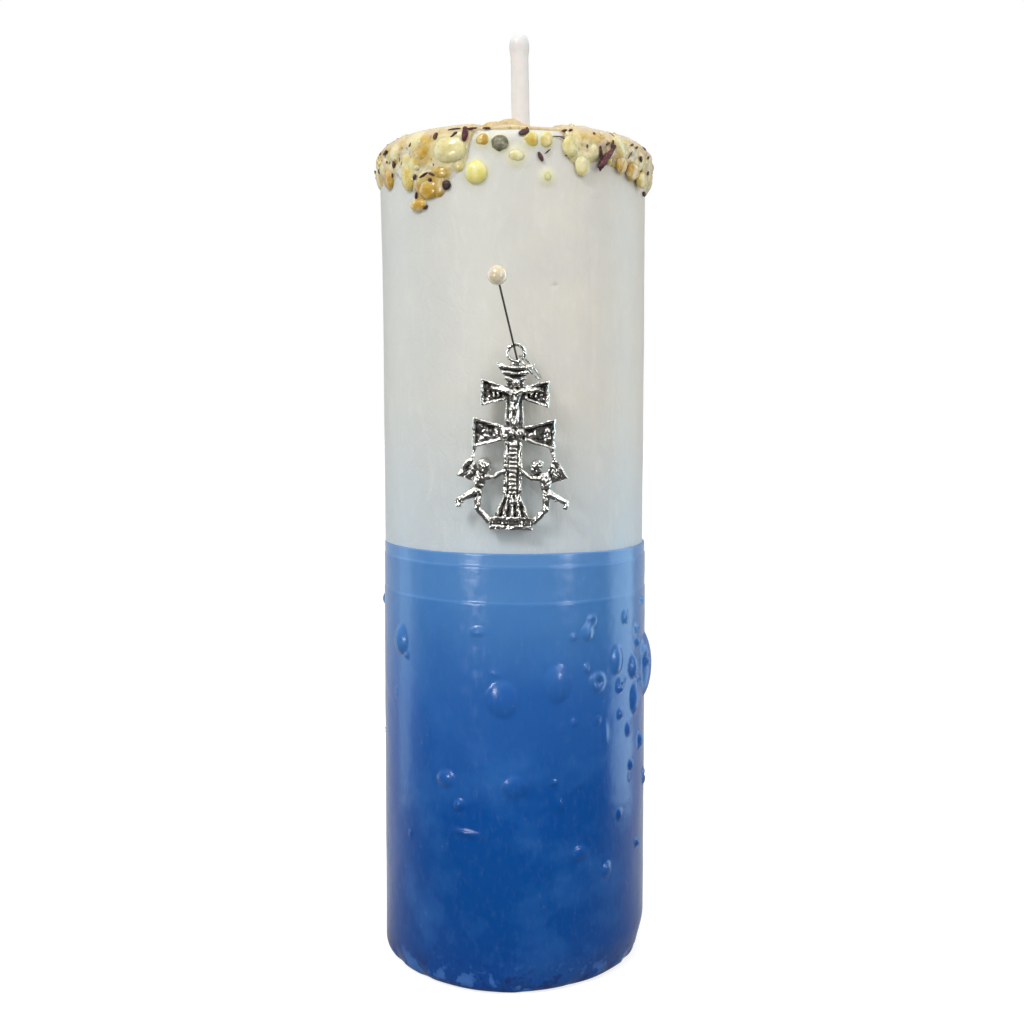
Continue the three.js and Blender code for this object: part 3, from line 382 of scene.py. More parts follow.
# How far the crust hangs on each side: millimetres, and the degrees over which it grows
LAP_LEFT = (9.2, 15, 21)
LAP_RIGHT = ((6.8, 19, 23), (3.4, 45, 75))
# Clusters that hang lower: millimetres, degrees and half width in degrees
HANGING_CLUSTERS = ((4.6, -31, 6), (5.6, -41, 4.5), (1.8, 29.5, 3))


def lap_drop_at(angle):
    """How far the crust hangs down from the pillar's top, in millimetres."""
    deg = np.degrees(angle)
    drop, start, end = LAP_LEFT
    left = drop * ramp(-deg, start, end)
    right = sum(drop * ramp(deg, start, end) for drop, start, end in LAP_RIGHT)
    hung = sum(drop * np.exp(-((deg - at) / wide) ** 2) for drop, at, wide in HANGING_CLUSTERS)
    uneven = 0.7 * wave(angle, 3, 5) * ramp(np.abs(deg), 45, 60)
    return 0.1 + left + right - ramp(deg, 100, 178) + hung + uneven


def polar(points):
    return np.arctan2(points[:, 0], -points[:, 1]), np.hypot(points[:, 0], points[:, 1])


def from_polar(angle, r, z, shift=0.0):
    return np.stack([shift + r * np.sin(angle), -r * np.cos(angle), z], axis=1)


# White pillar
# Pieces stuck in the bare wax, and how far their colour reaches in millimetres
STUCK_IN_WAX = [
    ("frankincense_bead_stuck_left", 3.4), ("frankincense_chip_stuck_right", 2.2),
    ("amber_drop_front", 2.2), ("frankincense_tear_under_berry", 2.8),
    ("frankincense_tear_front_left", 2.4), ("frankincense_tear_front_right", 2.4),
    ("berry_grey_green", 2.6),
]
# How high the film of wax climbs there, in millimetres
FILM_RISE = 0.42
PILLAR_STEPS = 280


def white_wax(wax):
    # Paraffin wax, poured and rubbed smooth: light sinks in a few millimetres, so edges glow softly
    material, tree, shader, place = new_material("Paraffin wax, poured white")
    axes = split_axes(tree, place)
    # painted light: the wax turns warmer and brighter towards the right, as the side lamp lights it
    painted_warm_light = mix_colour(tree, map_range(tree, axes["X"], -0.02, 0.03), wax.white, wax.painted_warm_light)
    # painted light: bluer just over the coat, as light bounced from the blue
    body = mix_colour(tree, map_range(tree, axes["Z"], 0.096, 0.13), wax.painted_blue_bounce, painted_warm_light)
    # cloudy patches about a centimetre wide, left by cooling
    cloud = noise_node(tree, place, 14.0, 3.0, 0.6)
    mottled = mix_colour(tree, grey_ramp(tree, cloud, (0.35, 0.0), (0.75, 0.5)), body, linear("#c6c8c5"))
    streak = noise_node(tree, stretched(tree, place, (1.0, 1.0, 0.35)), 2.4, 6.0, 0.65, 0.6)
    marked = mix_colour(tree, grey_ramp(tree, streak, (0.52, 0.0), (0.72, 0.35)), mottled,
                        linear("#deddd7"))
    # resin has bled a little into the wax round each piece stuck in it
    for node, reach in STUCK_IN_WAX:
        low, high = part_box(node)
        middle = (low + high) / 2
        gap = add_node(tree, "ShaderNodeVectorMath", {"operation": "DISTANCE"}, {1: middle}, {0: place})
        halo = map_range(tree, gap.outputs["Value"], reach * 0.5 * MM, reach * 1.1 * MM, 0.75, 0.0)
        marked = mix_colour(tree, halo, marked, linear("#dcd9ae"))
    rough = grey_ramp(tree, streak, (0.3, 0.34), (0.7, 0.5))
    link_shader(tree, shader, Base_Color=marked, Roughness=rough)
    shader_values(shader, IOR=1.44, Subsurface_Weight=0.25, Subsurface_Scale=0.003,
                  Subsurface_Radius=(1.0, 0.9, 0.75))
    # scraped and crazed skin: marks a millimetre or two apart, a few hundredths deep
    crack = add_node(tree, "ShaderNodeTexVoronoi", {"feature": "DISTANCE_TO_EDGE"}, {"Scale": 420.0}, {
        "Vector": stretched(tree, place, (1.0, 1.0, 0.6))})
    craze = grey_ramp(tree, crack.outputs["Distance"], (0.0, 0.0), (0.08, 1.0))
    first = bumped(tree, shader, craze, 0.05, 0.35)
    bumped(tree, shader, streak, 0.22, 0.8, first)
    return material


def pillar_profile(wax):
    r, top, rim = wax.radius / MM, wax.top / MM, wax.rim / MM
    inner = r - wax.coat_depth / MM
    low = wax.coat_top / MM - 1.6
    points = [(0.0, wax.coat_floor / MM), (inner, wax.coat_floor / MM), (inner, low), (r, low)]
    points += [(r, z) for z in rows(low, top - rim, 0.5)]
    points += [(r - rim * (1 - math.cos(math.radians(a))), top - rim * (1 - math.sin(math.radians(a))))
               for a in (15, 30, 45, 60, 75, 90)]
    return points + [(r - 3.5, top), (r - 6, top), (20.0, top), (10.0, top), (0.0, top)]


def shoulder(z, top, rim):
    """How far a rounded top edge lies inside the wall at each height, in millimetres."""
    return np.where(z > top - rim, rim - np.sqrt(np.clip(rim ** 2 - (z - top + rim) ** 2, 0, None)), 0)


class CANDLE_OT_pillar(bpy.types.Operator):
    """Makes the white wax pillar"""
    bl_idname = "candle.pillar"
    bl_label = "White pillar"

    def execute(self, context):
        wax = context.scene.candle_wax
        bm = turned(pillar_profile(wax), PILLAR_STEPS)

        def move(p):
            angle, r = polar(p)
            z = p[:, 2]
            outer = (z > wax.coat_top / MM - 1.7) & (r > wax.radius / MM - 2.4)
            swell = pillar_radius_at(wax, angle, z) - wax.radius / MM
            skin = 0.05 * mottle(p, 9.0, 3) + 0.02 * mottle(p * (1, 1, 0.4), 2.2, 5)
            deg = np.degrees(angle)
            dent = -0.14 * np.exp(-((deg - 33.0) / 1.6) ** 2) * ramp(z, 100, 112) * (1 - ramp(z, 158, 172))
            pit = -0.55 * np.exp(-(((deg - 16.7) * 0.52) ** 2 + (z - 153.5) ** 2) / 0.09)
            # the sagged rim: the shoulder starts lower and further in where its rounding is larger
            top, small, large = wax.top / MM, wax.rim / MM, rim_round_at(wax, angle)
            flat = (z > top - 0.01) & (r < wax.radius / MM - small + 0.01)
            sag = np.where(flat, 0.0, shoulder(z, top, large) - shoulder(z, top, small))
            # a film of wax climbs each piece stuck in it
            film = np.zeros(len(p))
            for node, reach in STUCK_IN_WAX:
                low, high = (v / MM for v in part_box(node))
                gap = np.linalg.norm(p - np.array((low + high) / 2), axis=1)
                film = np.maximum(film, FILM_RISE * np.exp(-(gap / (0.75 * reach)) ** 4))
            film = np.where(r > 25, film, 0.0)
            z = np.where(flat, z - np.clip(r - (wax.radius / MM - large), 0, None) ** 2 / (2 * large), z)
            return from_polar(angle, r + np.where(outer, swell + skin + dent + pit + film, 0.0) - sag, z)

        reshape(bm, move)
        finish_piece(bm, "pillar_wax", white_wax(wax), stands_for=["white_wax_pillar"])
        return {"FINISHED"}


# Blue coat
# How far the two lower dip lines lie below the coat's upper edge, in millimetres
DIP_LINES = (2.8, 10.7)
# The radius at which a blister's width is measured round the coat
BLISTER_CIRCLE = 30.6
EXTRA_BLISTERS = 46
COAT_STEPS = 360

# Blisters and drops: degrees, height up the coat, width, tall, how far out in millimetres, and kind
BLISTERS = [
    (-56.0, 76.0, 4.8, 7.0, 1.0, "drop"), (-51.6, 73.0, 1.2, 1.2, 0.5, "drop"),
    (-60.5, 64.0, 1.6, 2.6, 0.45, "ring"), (-5.0, 66.0, 7.0, 8.2, 0.55, "dome"),
    (33.0, 82.2, 2.2, 2.6, 0.5, "ring"), (24.0, 79.0, 1.6, 1.2, 0.35, "dome"),
    (53.0, 81.5, 2.2, 3.2, 0.6, "drop"), (64.0, 78.0, 2.3, 2.5, 0.7, "ring"),
    (64.0, 75.0, 2.3, 2.5, 0.7, "drop"), (47.5, 72.5, 4.0, 6.8, 0.6, "dome"),
    (60.0, 69.5, 3.6, 5.6, 0.9, "drop"), (73.0, 72.5, 3.0, 5.0, 0.5, "drop"),
    (79.0, 68.5, 8.0, 15.0, 1.3, "dome"), (66.0, 66.0, 2.0, 2.6, 0.7, "ring"),
    (36.0, 68.5, 4.4, 4.6, 0.5, "ring"), (17.0, 69.0, 6.0, 8.4, 0.5, "dome"),
    (62.0, 62.5, 4.6, 8.0, 0.8, "dome"), (50.0, 60.0, 2.0, 2.0, 0.5, "drop"),
    (49.0, 66.0, 1.4, 2.0, 0.45, "drop"), (53.0, 67.6, 1.1, 1.1, 0.35, "drop"),
    (24.5, 60.4, 1.3, 1.3, 0.35, "ring"), (36.5, 60.0, 1.6, 1.6, 0.35, "ring"),
    (40.5, 57.0, 1.2, 4.2, 0.35, "crease"), (-29.5, 47.5, 4.6, 4.0, 0.5, "dome"),
    (-23.5, 42.0, 2.4, 2.4, 0.5, "drop"), (0.0, 46.8, 5.6, 5.2, 0.4, "dome"),
    (18.6, 42.4, 2.2, 3.4, 0.4, "crease"), (15.8, 47.4, 1.3, 1.3, 0.35, "drop"),
    (27.0, 46.3, 1.3, 1.3, 0.35, "ring"), (-20.5, 36.0, 7.2, 1.4, 0.4, "crease"),
    (-49.5, 32.5, 1.4, 1.4, 0.35, "ring"), (27.5, 31.0, 5.0, 3.4, 0.3, "dome"),
    (66.0, 28.0, 2.0, 2.2, 0.5, "drop"), (-36.0, 79.0, 1.5, 5.0, 0.2, "crease"),
    (-15.0, 80.4, 3.4, 1.6, 0.3, "dome"), (-7.5, 71.5, 2.0, 1.2, 0.3, "crease"),
    (70.0, 84.0, 1.6, 2.2, 0.5, "drop"), (56.0, 56.0, 2.4, 3.4, 0.5, "dome"),
    (68.0, 52.0, 2.6, 4.4, 0.7, "dome"),
]


def blister_height(angle, z, shape):
    deg, at, wide, tall, proud, kind = shape
    away = (angle - math.radians(deg) + math.pi) % (2 * math.pi) - math.pi
    x = away * BLISTER_CIRCLE / (wide / 2)
    y = (z - at) / (tall / 2)
    if kind == "drop":
        y = np.where(y < 0, y * 1.25, y * 0.85)
    d = np.hypot(x, y)
    if kind == "ring":
        return proud * (np.exp(-((d - 0.62) / 0.26) ** 2) - 0.5 * np.exp(-(d / 0.35) ** 2))
    if kind == "crease":
        slant = np.hypot(x + 0.35 * y, y)
        return proud * np.exp(-slant ** 2 * 1.4)
    sharp = 0.62 if kind == "drop" else 0.8
    return 1.35 * proud * np.clip(1 - d ** 2, 0, 1) ** sharp


def blue_wax(wax):
    # Paraffin wax with oil dye, dipped hot: a glassy skin, pale where it is one dip thin
    material, tree, shader, place = new_material("Paraffin wax, dyed blue and dipped")
    up = split_axes(tree, place)["Z"]
    wobble = scaled(tree, noise_node(tree, place, 26.0, 2.0, 0.5), 0.02, -0.01)
    share = map_range(tree, combine(tree, "ADD", up, wobble), 0.0, 0.1)
    base = ramp_node(tree, share, [
        (0.0, linear("#003f88")), (0.2, linear("#02468f")), (0.42, wax.blue_deep), (0.64, wax.blue_middle),
        (0.86, linear("#4379b6"))])
    # the three dips end one above the other, each edge a sharp step in tone
    dips = grey_ramp(tree, map_range(tree, up, 0.08, 0.1), (0.0, 0.0), (0.325, 0.0), (0.335, 0.35),
                     (0.72, 0.35), (0.73, 0.85), (1.0, 0.9))
    base = mix_colour(tree, dips, base, wax.blue_top)
    # soft paler clouds a centimetre wide, a painted sheen of reflected light, and fine upright frosting
    # where hands rubbed it
    cloud = noise_node(tree, place, 12.0, 3.0, 0.55)
    sheen_clouded = mix_colour(tree, grey_ramp(tree, cloud, (0.5, 0.0), (0.85, 0.4)), base, linear("#3f7cc2"))
    frost = noise_node(tree, stretched(tree, place, (1.0, 1.0, 0.4)), 1.1, 5.0, 0.7)
    frosted = mix_colour(tree, grey_ramp(tree, frost, (0.52, 0.0), (0.85, 0.06)), sheen_clouded,
                         linear("#86aede"))
    # the foot: rubbed and chipped patches half a centimetre wide, dark and pale
    foot = map_range(tree, up, 0.003, 0.008, 1.0, 0.0)
    patch = noise_node(tree, place, 6.0, 3.0, 0.6)
    dark = mix_colour(tree, 1.0, grey_ramp(tree, patch, (0.53, 0.0), (0.58, 0.75)), foot, "MULTIPLY")
    worn = mix_colour(tree, 1.0, grey_ramp(tree, patch, (0.38, 0.5), (0.44, 0.0)), foot, "MULTIPLY")
    frosted = mix_colour(tree, worn, mix_colour(tree, dark, frosted, linear("#06296a")), linear("#4c7fc4"))
    rough = grey_ramp(tree, frost, (0.35, 0.13), (0.75, 0.3))
    link_shader(tree, shader, Base_Color=frosted, Roughness=rough)
    shader_values(shader, IOR=1.44, Subsurface_Weight=0.05, Subsurface_Scale=0.0015,
                  Subsurface_Radius=(0.3, 0.6, 1.0))
    # faint ripples left by the draining wax, a few millimetres long, and a fine tooth
    first = bumped(tree, shader, noise_node(tree, place, 7.0, 2.0, 0.5), 0.3, 0.5)
    bumped(tree, shader, frost, 0.06, 0.5, first)
    return material


def coat_profile(wax):
    r = wax.radius / MM + wax.proud / MM
    top = wax.coat_top / MM
    foot = wax.foot / MM
    inner = wax.radius / MM - wax.coat_depth / MM
    points = [(0.0, 0.0), (12.0, 0.0), (22.0, 0.0), (r - foot, 0.0)]
    points += [(r - foot * (1 - math.sin(math.radians(a))), foot * (1 - math.cos(math.radians(a))))
               for a in range(10, 91, 8)]
    points += [(r, z) for z in rows(foot, 84.0, 0.5) + rows(84.0, top - 0.25, 0.25)]
    points += [(r - 0.03, top - 0.15), (r - 0.1, top - 0.04), (r - 0.2, top), (r - 0.6, top - 0.1)]
    floor = wax.coat_floor / MM
    return points + [(inner, top - 1.0), (inner, 40.0), (inner, floor), (0.0, floor)]


class CANDLE_OT_coat(bpy.types.Operator):
    """Makes the dipped blue coat with its blisters and chipped foot"""
    bl_idname = "candle.coat"
    bl_label = "Blue coat"

    def execute(self, context):
        wax = context.scene.candle_wax
        bm = turned(coat_profile(wax), COAT_STEPS)
        dice = random.Random(12)
        extra = []
        for _ in range(EXTRA_BLISTERS):
            side = dice.choice([1, 1, -1])
            deg = side * dice.uniform(84, 178) if dice.random() < 0.72 else dice.uniform(30, 84)
            size = dice.uniform(0.9, 3.0)
            extra.append((deg, dice.uniform(24, 86), size, size * dice.uniform(1.0, 1.7),
                          0.16 * size + 0.1, dice.choice(["drop", "dome", "ring"])))
        r0 = wax.radius / MM + wax.proud / MM
        base_out = (wax.base_proud - wax.proud) / MM
        top = wax.coat_top / MM

        def move(p):
            angle, r = polar(p)
            z = p[:, 2]
            outer = r > r0 - 0.65
            low = (z < wax.foot / MM) & (r > 20)
            down = (top - z) / top
            out = (base_out - 0.24) * down
            for line in DIP_LINES:
                bend = top - line + 0.25 * wave(angle, top - line, 2)
                out = out + 0.12 * ramp(bend - z, -0.3, 0.3)
            right = np.maximum(0.0, np.sin(angle))
            step = 2.0 * right ** 0.7 * ramp(9 - z, 0, 9) * (0.8 + 0.2 * wave(angle, 4, 4))
            bumps = sum(blister_height(angle, z, shape) for shape in BLISTERS + extra)
            skin = 0.06 * mottle(p, 8.0, 2) + 0.03 * mottle(p, 2.6, 4) * ramp(z, 0, 60)
            chips = -0.9 * np.clip(mottle(p, 4.0, 8) - 0.15, 0, 1) * ramp(5 - z, 0, 4)
            edge = 0.1 * wave(angle, 9, 6) * (1 - ramp(z, 0, 3))
            moved = np.where(outer | low, out + bumps + skin + chips + edge - step, 0.0)
            z = np.where(z > top - 4, z + (coat_top_at(wax, angle) - top) * ramp(z, top - 4, top - 1), z)
            worn_under = 0.3 * np.clip(mottle(p, 5.0, 6), 0, 1) * ramp(r, 24, 29)
            z = np.where((z < 0.4) & (r > 24), z + worn_under, z)
            return from_polar(angle, np.maximum(r + moved, 0.0), z, wax.shift / MM)

        reshape(bm, move)
        finish_piece(bm, "blue_coat", blue_wax(wax), stands_for=["blue_dip_coat"])
        return {"FINISHED"}


# Wick
WICK_STEPS = 28
WICK_RADIUS = 2.03
# The wick's rounded end: radius, and millimetres below the tip
WICK_END = (
    (2.12, 4.2), (2.22, 3.4), (2.25, 2.6), (2.2, 1.9), (2.02, 1.2), (1.65, 0.6), (1.05, 0.2), (0.45, 0.04))
WICK_MOST = 2.27
# Where the wick stands, how far its tip leans back, and the height from which it leans
WICK_PLACE = 1.7
WICK_LEAN = 0.5
WICK_FOOT = 186.9


class CANDLE_OT_wick(bpy.types.Operator):
    """Makes the waxed wick, and dresses the hidden cotton and its holder"""
    bl_idname = "candle.wick"
    bl_label = "Wick"

    def execute(self, context):
        low, high = (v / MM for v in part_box("wick_wax_sleeve"))
        foot, tip = low.z, high.z
        profile = [(0.0, foot), (WICK_RADIUS, foot)]
        profile += [(WICK_RADIUS, z) for z in rows(foot, tip - 5.0, 0.6)]
        profile += [(r, tip - down) for r, down in WICK_END] + [(0.0, tip)]
        bm = turned(profile, WICK_STEPS)

        def move(p):
            angle, r = polar(p)
            z = p[:, 2]
            r = r * (1 + 0.02 * mottle(p, 3.0, 1) + 0.012 * mottle(p, 1.2, 7))
            moved = from_polar(angle, np.minimum(r, WICK_MOST), z)
            moved[:, 0] += WICK_PLACE - WICK_LEAN * np.maximum(0, (z - WICK_FOOT) / (tip - WICK_FOOT))
            return moved

        reshape(bm, move)
        # Wick wax: the same paraffin, thin over cotton, so it is whiter and smooth
        material, tree, shader, place = new_material("Paraffin wax over cotton")
        cloud = noise_node(tree, place, 3.0, 3.0, 0.6)
        tone = ramp_node(tree, cloud, [(0.3, linear("#d8d8d6")), (0.7, linear("#e0dfdd"))])
        link_shader(tree, shader, Base_Color=tone)
        shader_values(shader, Roughness=0.35, IOR=1.44, Subsurface_Weight=0.5, Subsurface_Scale=0.002)
        bumped(tree, shader, noise_node(tree, place, 1.0, 3.0, 0.6), 0.08, 0.5)
        finish_piece(bm, "wick_wax", material, stands_for=["wick_wax_sleeve"])

        # Cotton: braided strands half a millimetre wide
        material, tree, shader, place = new_material("Cotton braid")
        strands = add_node(tree, "ShaderNodeTexWave", {"bands_direction": "DIAGONAL"}, {"Scale": 320.0}, {
            "Vector": place})
        braid = strands.outputs["Color"]
        tone = ramp_node(tree, braid, [(0.2, linear("#cfc6b0")), (0.8, linear("#efe9da"))])
        link_shader(tree, shader, Base_Color=tone)
        shader_values(shader, Roughness=0.9)
        bumped(tree, shader, braid, 0.1, 0.6)
        dress("wick_core", material)

        # Tinplate: rolled steel with a bright tin skin
        material, tree, shader, place = new_material("Tinplate, rolled")
        grain = noise_node(tree, place, 0.8, 4.0, 0.6)
        link_shader(tree, shader, Roughness=grey_ramp(tree, grain, (0.3, 0.25), (0.7, 0.4)))
        shader_values(shader, Base_Color=rgba(linear("#b4b6b8")), Metallic=1.0)
        dress("wick_sustainer", material)
        return {"FINISHED"}


# Crust
def crust_material(crust):
    # Candle wax run together with tree resin and bark: the attribute holds each lump's own tone, and its
    # alpha is 1 where the skin is clear resin and 0 where it is crumbly wax
    material, tree, shader, place = new_material("Wax with tree resin")
    paint = add_node(tree, "ShaderNodeAttribute", {"attribute_name": "lump_tone"})
    resin = paint.outputs["Alpha"]
    grain = noise_node(tree, place, 1.1, 4.0, 0.65)
    # paler flecks where the fine grain is high: painted light catching the lumps
    lit = mix_colour(tree, grey_ramp(tree, grain, (0.45, 0.0), (0.75, 0.35)), paint.outputs["Color"],
                     linear("#ece3c4"))
    powder = noise_node(tree, place, 0.7, 3.0, 0.7)
    crumbly = mix_colour(tree, grey_ramp(tree, powder, (0.5, 0.0), (0.72, 0.55)), lit, linear("#a98c60"))
    # bark dust: dark grains a third of a millimetre long, in drifts
    flecks = add_node(tree, "ShaderNodeTexVoronoi", None, {"Scale": 1000.0, "Randomness": 1.0}, {
        "Vector": stretched(tree, place, (1.0, 1.0, 0.5), (0.4, 0.7, 0.2))})
    dark = grey_ramp(tree, flecks.outputs["Distance"], (0.2, 1.0), (0.3, 0.0))
    drift = grey_ramp(tree, noise_node(tree, place, 3.0, 3.0, 0.6), (0.44, 0.0), (0.52, 1.0))
    crumbly = mix_colour(tree, mix_colour(tree, 1.0, dark, drift, "MULTIPLY"), crumbly, crust.bark)
    link_shader(tree, shader, Base_Color=mix_colour(tree, resin, crumbly, lit),
                Roughness=mix_colour(tree, resin, grey(0.42), grey(0.2)))
    shader_values(shader, IOR=1.46, Subsurface_Weight=0.5, Subsurface_Scale=0.0014,
                  Subsurface_Radius=(1.0, 0.85, 0.55), Coat_Weight=0.3, Coat_Roughness=0.1)
    first = bumped(tree, shader, grain, 0.16, 0.6)
    bumped(tree, shader, powder, 0.1, 0.5, first)
    return material


def between(k, stops):
    """The value at k on straight stretches between stops, for arrays."""
    value = stops[0][1] + 0 * k
    for (k0, v0), (k1, v1) in zip(stops, stops[1:]):
        value = np.where(k > k0, v0 + (v1 - v0) * np.clip((k - k0) / (k1 - k0), 0, 1), value)
    return value


# The share of the way from the lap's foot to the wick at which the crust turns over the rim
SIDE_SHARE = 0.42
# How many lumps the CAD tries to place on the crust
LUMPS = 76
# The crust ends this many millimetres from the axis, where the wick stands
WICK_GAP = 1.2


def front_wax(deg):
    """1 in front, where plain wax runs over the crust, fading to 0 into the two loaded sides."""
    return ramp(deg, -25, -18) * (1 - ramp(deg, 19, 26))


def crust_section(wax, crust, angle, k):
    """Radius and height of the crust's skin at a share k of the way from the lap's foot to the wick."""
    drop, rim, top = lap_drop_at(angle), rim_round_at(wax, angle), wax.top / MM
    body = pillar_radius_at(wax, angle, np.full_like(angle, top))
    hang = np.maximum(0, drop - rim)
    start = np.where(drop < rim, np.arcsin(np.clip(1 - drop / rim, -1, 1)), 0.0)
    covered = ramp(drop, 0, 3)
    skin, fit = crust.skin / MM, crust.fit / MM
    thin = 1 - 0.85 * front_wax(np.degrees(angle))
    bed = skin + (crust.lap + crust.lap_right * np.maximum(0, np.sin(angle))) / MM * covered * thin
    over = skin + crust.rim / MM * covered
    side = np.clip(k / SIDE_SHARE, 0, 1)
    off = between(side, [
        (0.0, -0.25), (0.1, 0.12), (0.3, fit + bed * 0.7), (0.55, fit + bed),
        (0.85, fit + np.maximum(bed * 0.6, over)), (1.0, fit + over)])
    s = side * (hang + rim * (math.pi / 2 - start))
    a = start + np.maximum(s - hang, 0) / rim
    wall = s < hang
    r = np.where(wall, pillar_radius_at(wax, angle, top - drop + s) + off,
                 body - rim * (1 - np.cos(a)) + off * np.cos(a))
    z = np.where(wall, top - drop + s, top - rim * (1 - np.sin(a)) + off * np.sin(a))
    inner = np.clip((k - SIDE_SHARE) / (1 - SIDE_SHARE), 0, 1)
    thick = crust.thick / MM
    high = between(inner, [(0.0, fit + over), (0.14, thick * (0.55 + 0.3 * covered)), (0.35, thick),
                           (0.6, thick * 0.95), (1.0, thick * 0.9)])
    r = np.where(k > SIDE_SHARE, (body - rim) * (1 - inner) + WICK_GAP * inner, r)
    return r, np.where(k > SIDE_SHARE, top + high, z)


def crust_place(wax, crust, angle, k):
    """A point on the crust in millimetres and its outward direction."""
    a = np.array([angle])
    r, z = (v[0] for v in crust_section(wax, crust, a, np.array([k])))
    r2, z2 = (v[0] for v in crust_section(wax, crust, a, np.array([k + 0.02])))
    out = Vector((z2 - z, 0, r - r2)).normalized()
    direction = Vector((out.x * math.sin(angle), -out.x * math.cos(angle), out.z))
    return at_angle(math.degrees(angle), r, z), direction


def crust_lumps(wax):
    """The CAD's resin lumps: angle, share of the way over the crust, and width in millimetres."""
    found = []
    for i in range(LUMPS):
        deg = (i * 205.1) % 360 - 180
        way = (i * 0.755) % 1
        wide = 2.4 + 2.0 * ((i * 7) % 10) / 9
        angle = math.radians(deg)
        if way < 0.45:
            if lap_drop_at(np.array([angle]))[0] >= 4:
                found.append((angle, SIDE_SHARE * (0.14 + 1.7 * way), wide))
            continue
        share = math.sqrt(0.82 - 0.75 * (way - 0.45) / 0.55)
        rim = rim_round_at(wax, angle)
        inner = (PILLAR_RADIUS - rim - PILLAR_RADIUS * share) / (PILLAR_RADIUS - rim - WICK_GAP)
        found.append((angle, SIDE_SHARE + (1 - SIDE_SHARE) * min(max(inner, 0.0), 1.0), wide))
    return found


# Lumps that show in front: degrees, millimetres below the pillar's top, width, height, tilt in degrees,
# how far they stand out, and tone
PATCHES = [
    (-42.3, 6.1, 3.6, 2.8, -20, 0.5, "tear"), (-47.0, 4.9, 3.0, 2.2, 0, 0.4, "tear"),
    (-40.0, 1.6, 6.4, 3.6, 0, 0.6, "pale"), (-21.9, 7.7, 2.2, 2.9, 10, 0.4, "tear"),
    (-31.5, 3.0, 3.2, 3.8, 20, 0.35, "pale"), (-55.0, 3.2, 4.0, 2.6, 0, 0.4, "cream"),
    (-66.0, 4.5, 3.4, 2.8, 0, 0.35, "pink"), (-52.0, 7.6, 2.6, 3.4, 0, 0.3, "wax"),
    (-39.5, 10.8, 4.4, 3.8, 0, 0.6, "brown"), (-30.8, 12.0, 3.8, 4.4, 12, 0.8, "gold"),
    (-35.0, 9.2, 4.6, 3.0, 0, 0.6, "pink"), (-40.8, 14.2, 3.8, 2.8, 0, 0.6, "amber"),
    (-36.8, 12.6, 2.4, 3.0, 0, 0.5, "pink"), (-74.0, 7.0, 3.0, 4.4, 0, 0.35, "amber"),
    (-28.0, 8.8, 2.6, 2.4, 0, 0.4, "amber"), (26.1, 0.9, 4.2, 2.8, 0, 0.6, "tear"),
    (24.9, 5.8, 3.0, 3.0, 0, 0.6, "cream"), (28.9, 6.2, 2.0, 4.2, 0, 0.5, "pale"),
    (31.8, 6.0, 1.4, 3.8, -10, 0.4, "wax"), (33.0, 4.8, 2.4, 2.9, 0, 0.5, "pink"),
    (40.1, 3.8, 2.6, 2.6, 0, 0.5, "plum"), (36.0, 2.6, 2.0, 4.6, 24, 0.4, "plum"),
    (46.5, 3.0, 2.7, 3.2, 0, 0.4, "tear"), (45.3, 6.4, 3.0, 2.8, 0, 0.6, "gold"),
    (53.5, 7.3, 3.6, 3.4, 0, 0.6, "amber"), (61.4, 8.8, 3.6, 2.6, 0, 0.4, "tear"),
    (49.6, 5.2, 1.2, 5.0, 8, 0.35, "cream"), (57.4, 5.8, 1.2, 5.0, 8, 0.35, "cream"),
    (66.0, 6.4, 3.2, 3.8, 0, 0.4, "pink"), (72.0, 8.6, 3.0, 3.6, 0, 0.35, "cream"),
    (21.5, 3.0, 3.6, 3.4, 0, 0.5, "cream"), (43.0, 1.0, 3.6, 2.2, 0, 0.4, "pink"),
    (54.0, 2.2, 4.0, 2.6, 0, 0.4, "pink"),
]


# Lumps that rise over the rim behind the front edge: degrees, share of the way over, width, rise and tone
CREST = [
    (-10.0, 0.5, 6.5, 1.7, "tear"), (-2.5, 0.48, 7.0, 2.3, "pale"), (4.5, 0.5, 4.2, 1.2, "amber"),
    (33.0, 0.46, 6.5, 0.9, "tear"), (-36.0, 0.47, 5.0, 0.5, "pale"), (-24.0, 0.48, 5.0, 0.5, "tear"),
    (50.0, 0.47, 4.5, 0.4, "pale"),
]


def surface_spot(wax, crust, deg, down):
    """Where a height meets the crust's lap, or the bare wax below it: a point and its outward direction."""
    angle = math.radians(deg)
    a = np.array([angle])
    drop, rim, top = lap_drop_at(a)[0], rim_round_at(wax, angle), wax.top / MM
    if down < drop:
        shares = np.linspace(0.01, SIDE_SHARE, 80)
        heights = crust_section(wax, crust, np.full(80, angle), shares)[1]
        return crust_place(wax, crust, angle, shares[np.abs(heights - (top - down)).argmin()])
    tilt = math.asin(1 - down / rim) if down < rim else 0.0
    r = pillar_radius_at(wax, a, np.array([top - down]))[0]
    if down < rim:
        r -= rim * (1 - math.cos(tilt))
    out = Vector((math.cos(tilt) * math.sin(angle), -math.cos(tilt) * math.cos(angle), math.sin(tilt)))
    return at_angle(deg, r, top - down), out


def spot_frame(out, tilt=0.0):
    """Two directions along the surface: across and up, turned clockwise by a tilt in degrees."""
    across = Vector((-out.y, out.x, 0.0)).normalized()
    up = out.cross(across).normalized()
    t = math.radians(tilt)
    return across * math.cos(t) - up * math.sin(t), up * math.cos(t) + across * math.sin(t)


# How deep an oval patch reaches above and below the skin, in millimetres
PATCH_DEPTH = 2.5


def mound(points, centre, out, wide, tall, tilt):
    """How far inside an oval patch each point lies: 1 at its middle, 0 at its edge and beyond."""
    across, up = spot_frame(out, tilt)
    gap = points - np.array(centre)
    x = gap @ np.array(across) / (wide / 2)
    y = gap @ np.array(up) / (tall / 2)
    z = gap @ np.array(out) / PATCH_DEPTH
    return np.clip(1 - (x * x + y * y + z * z), 0, 1)


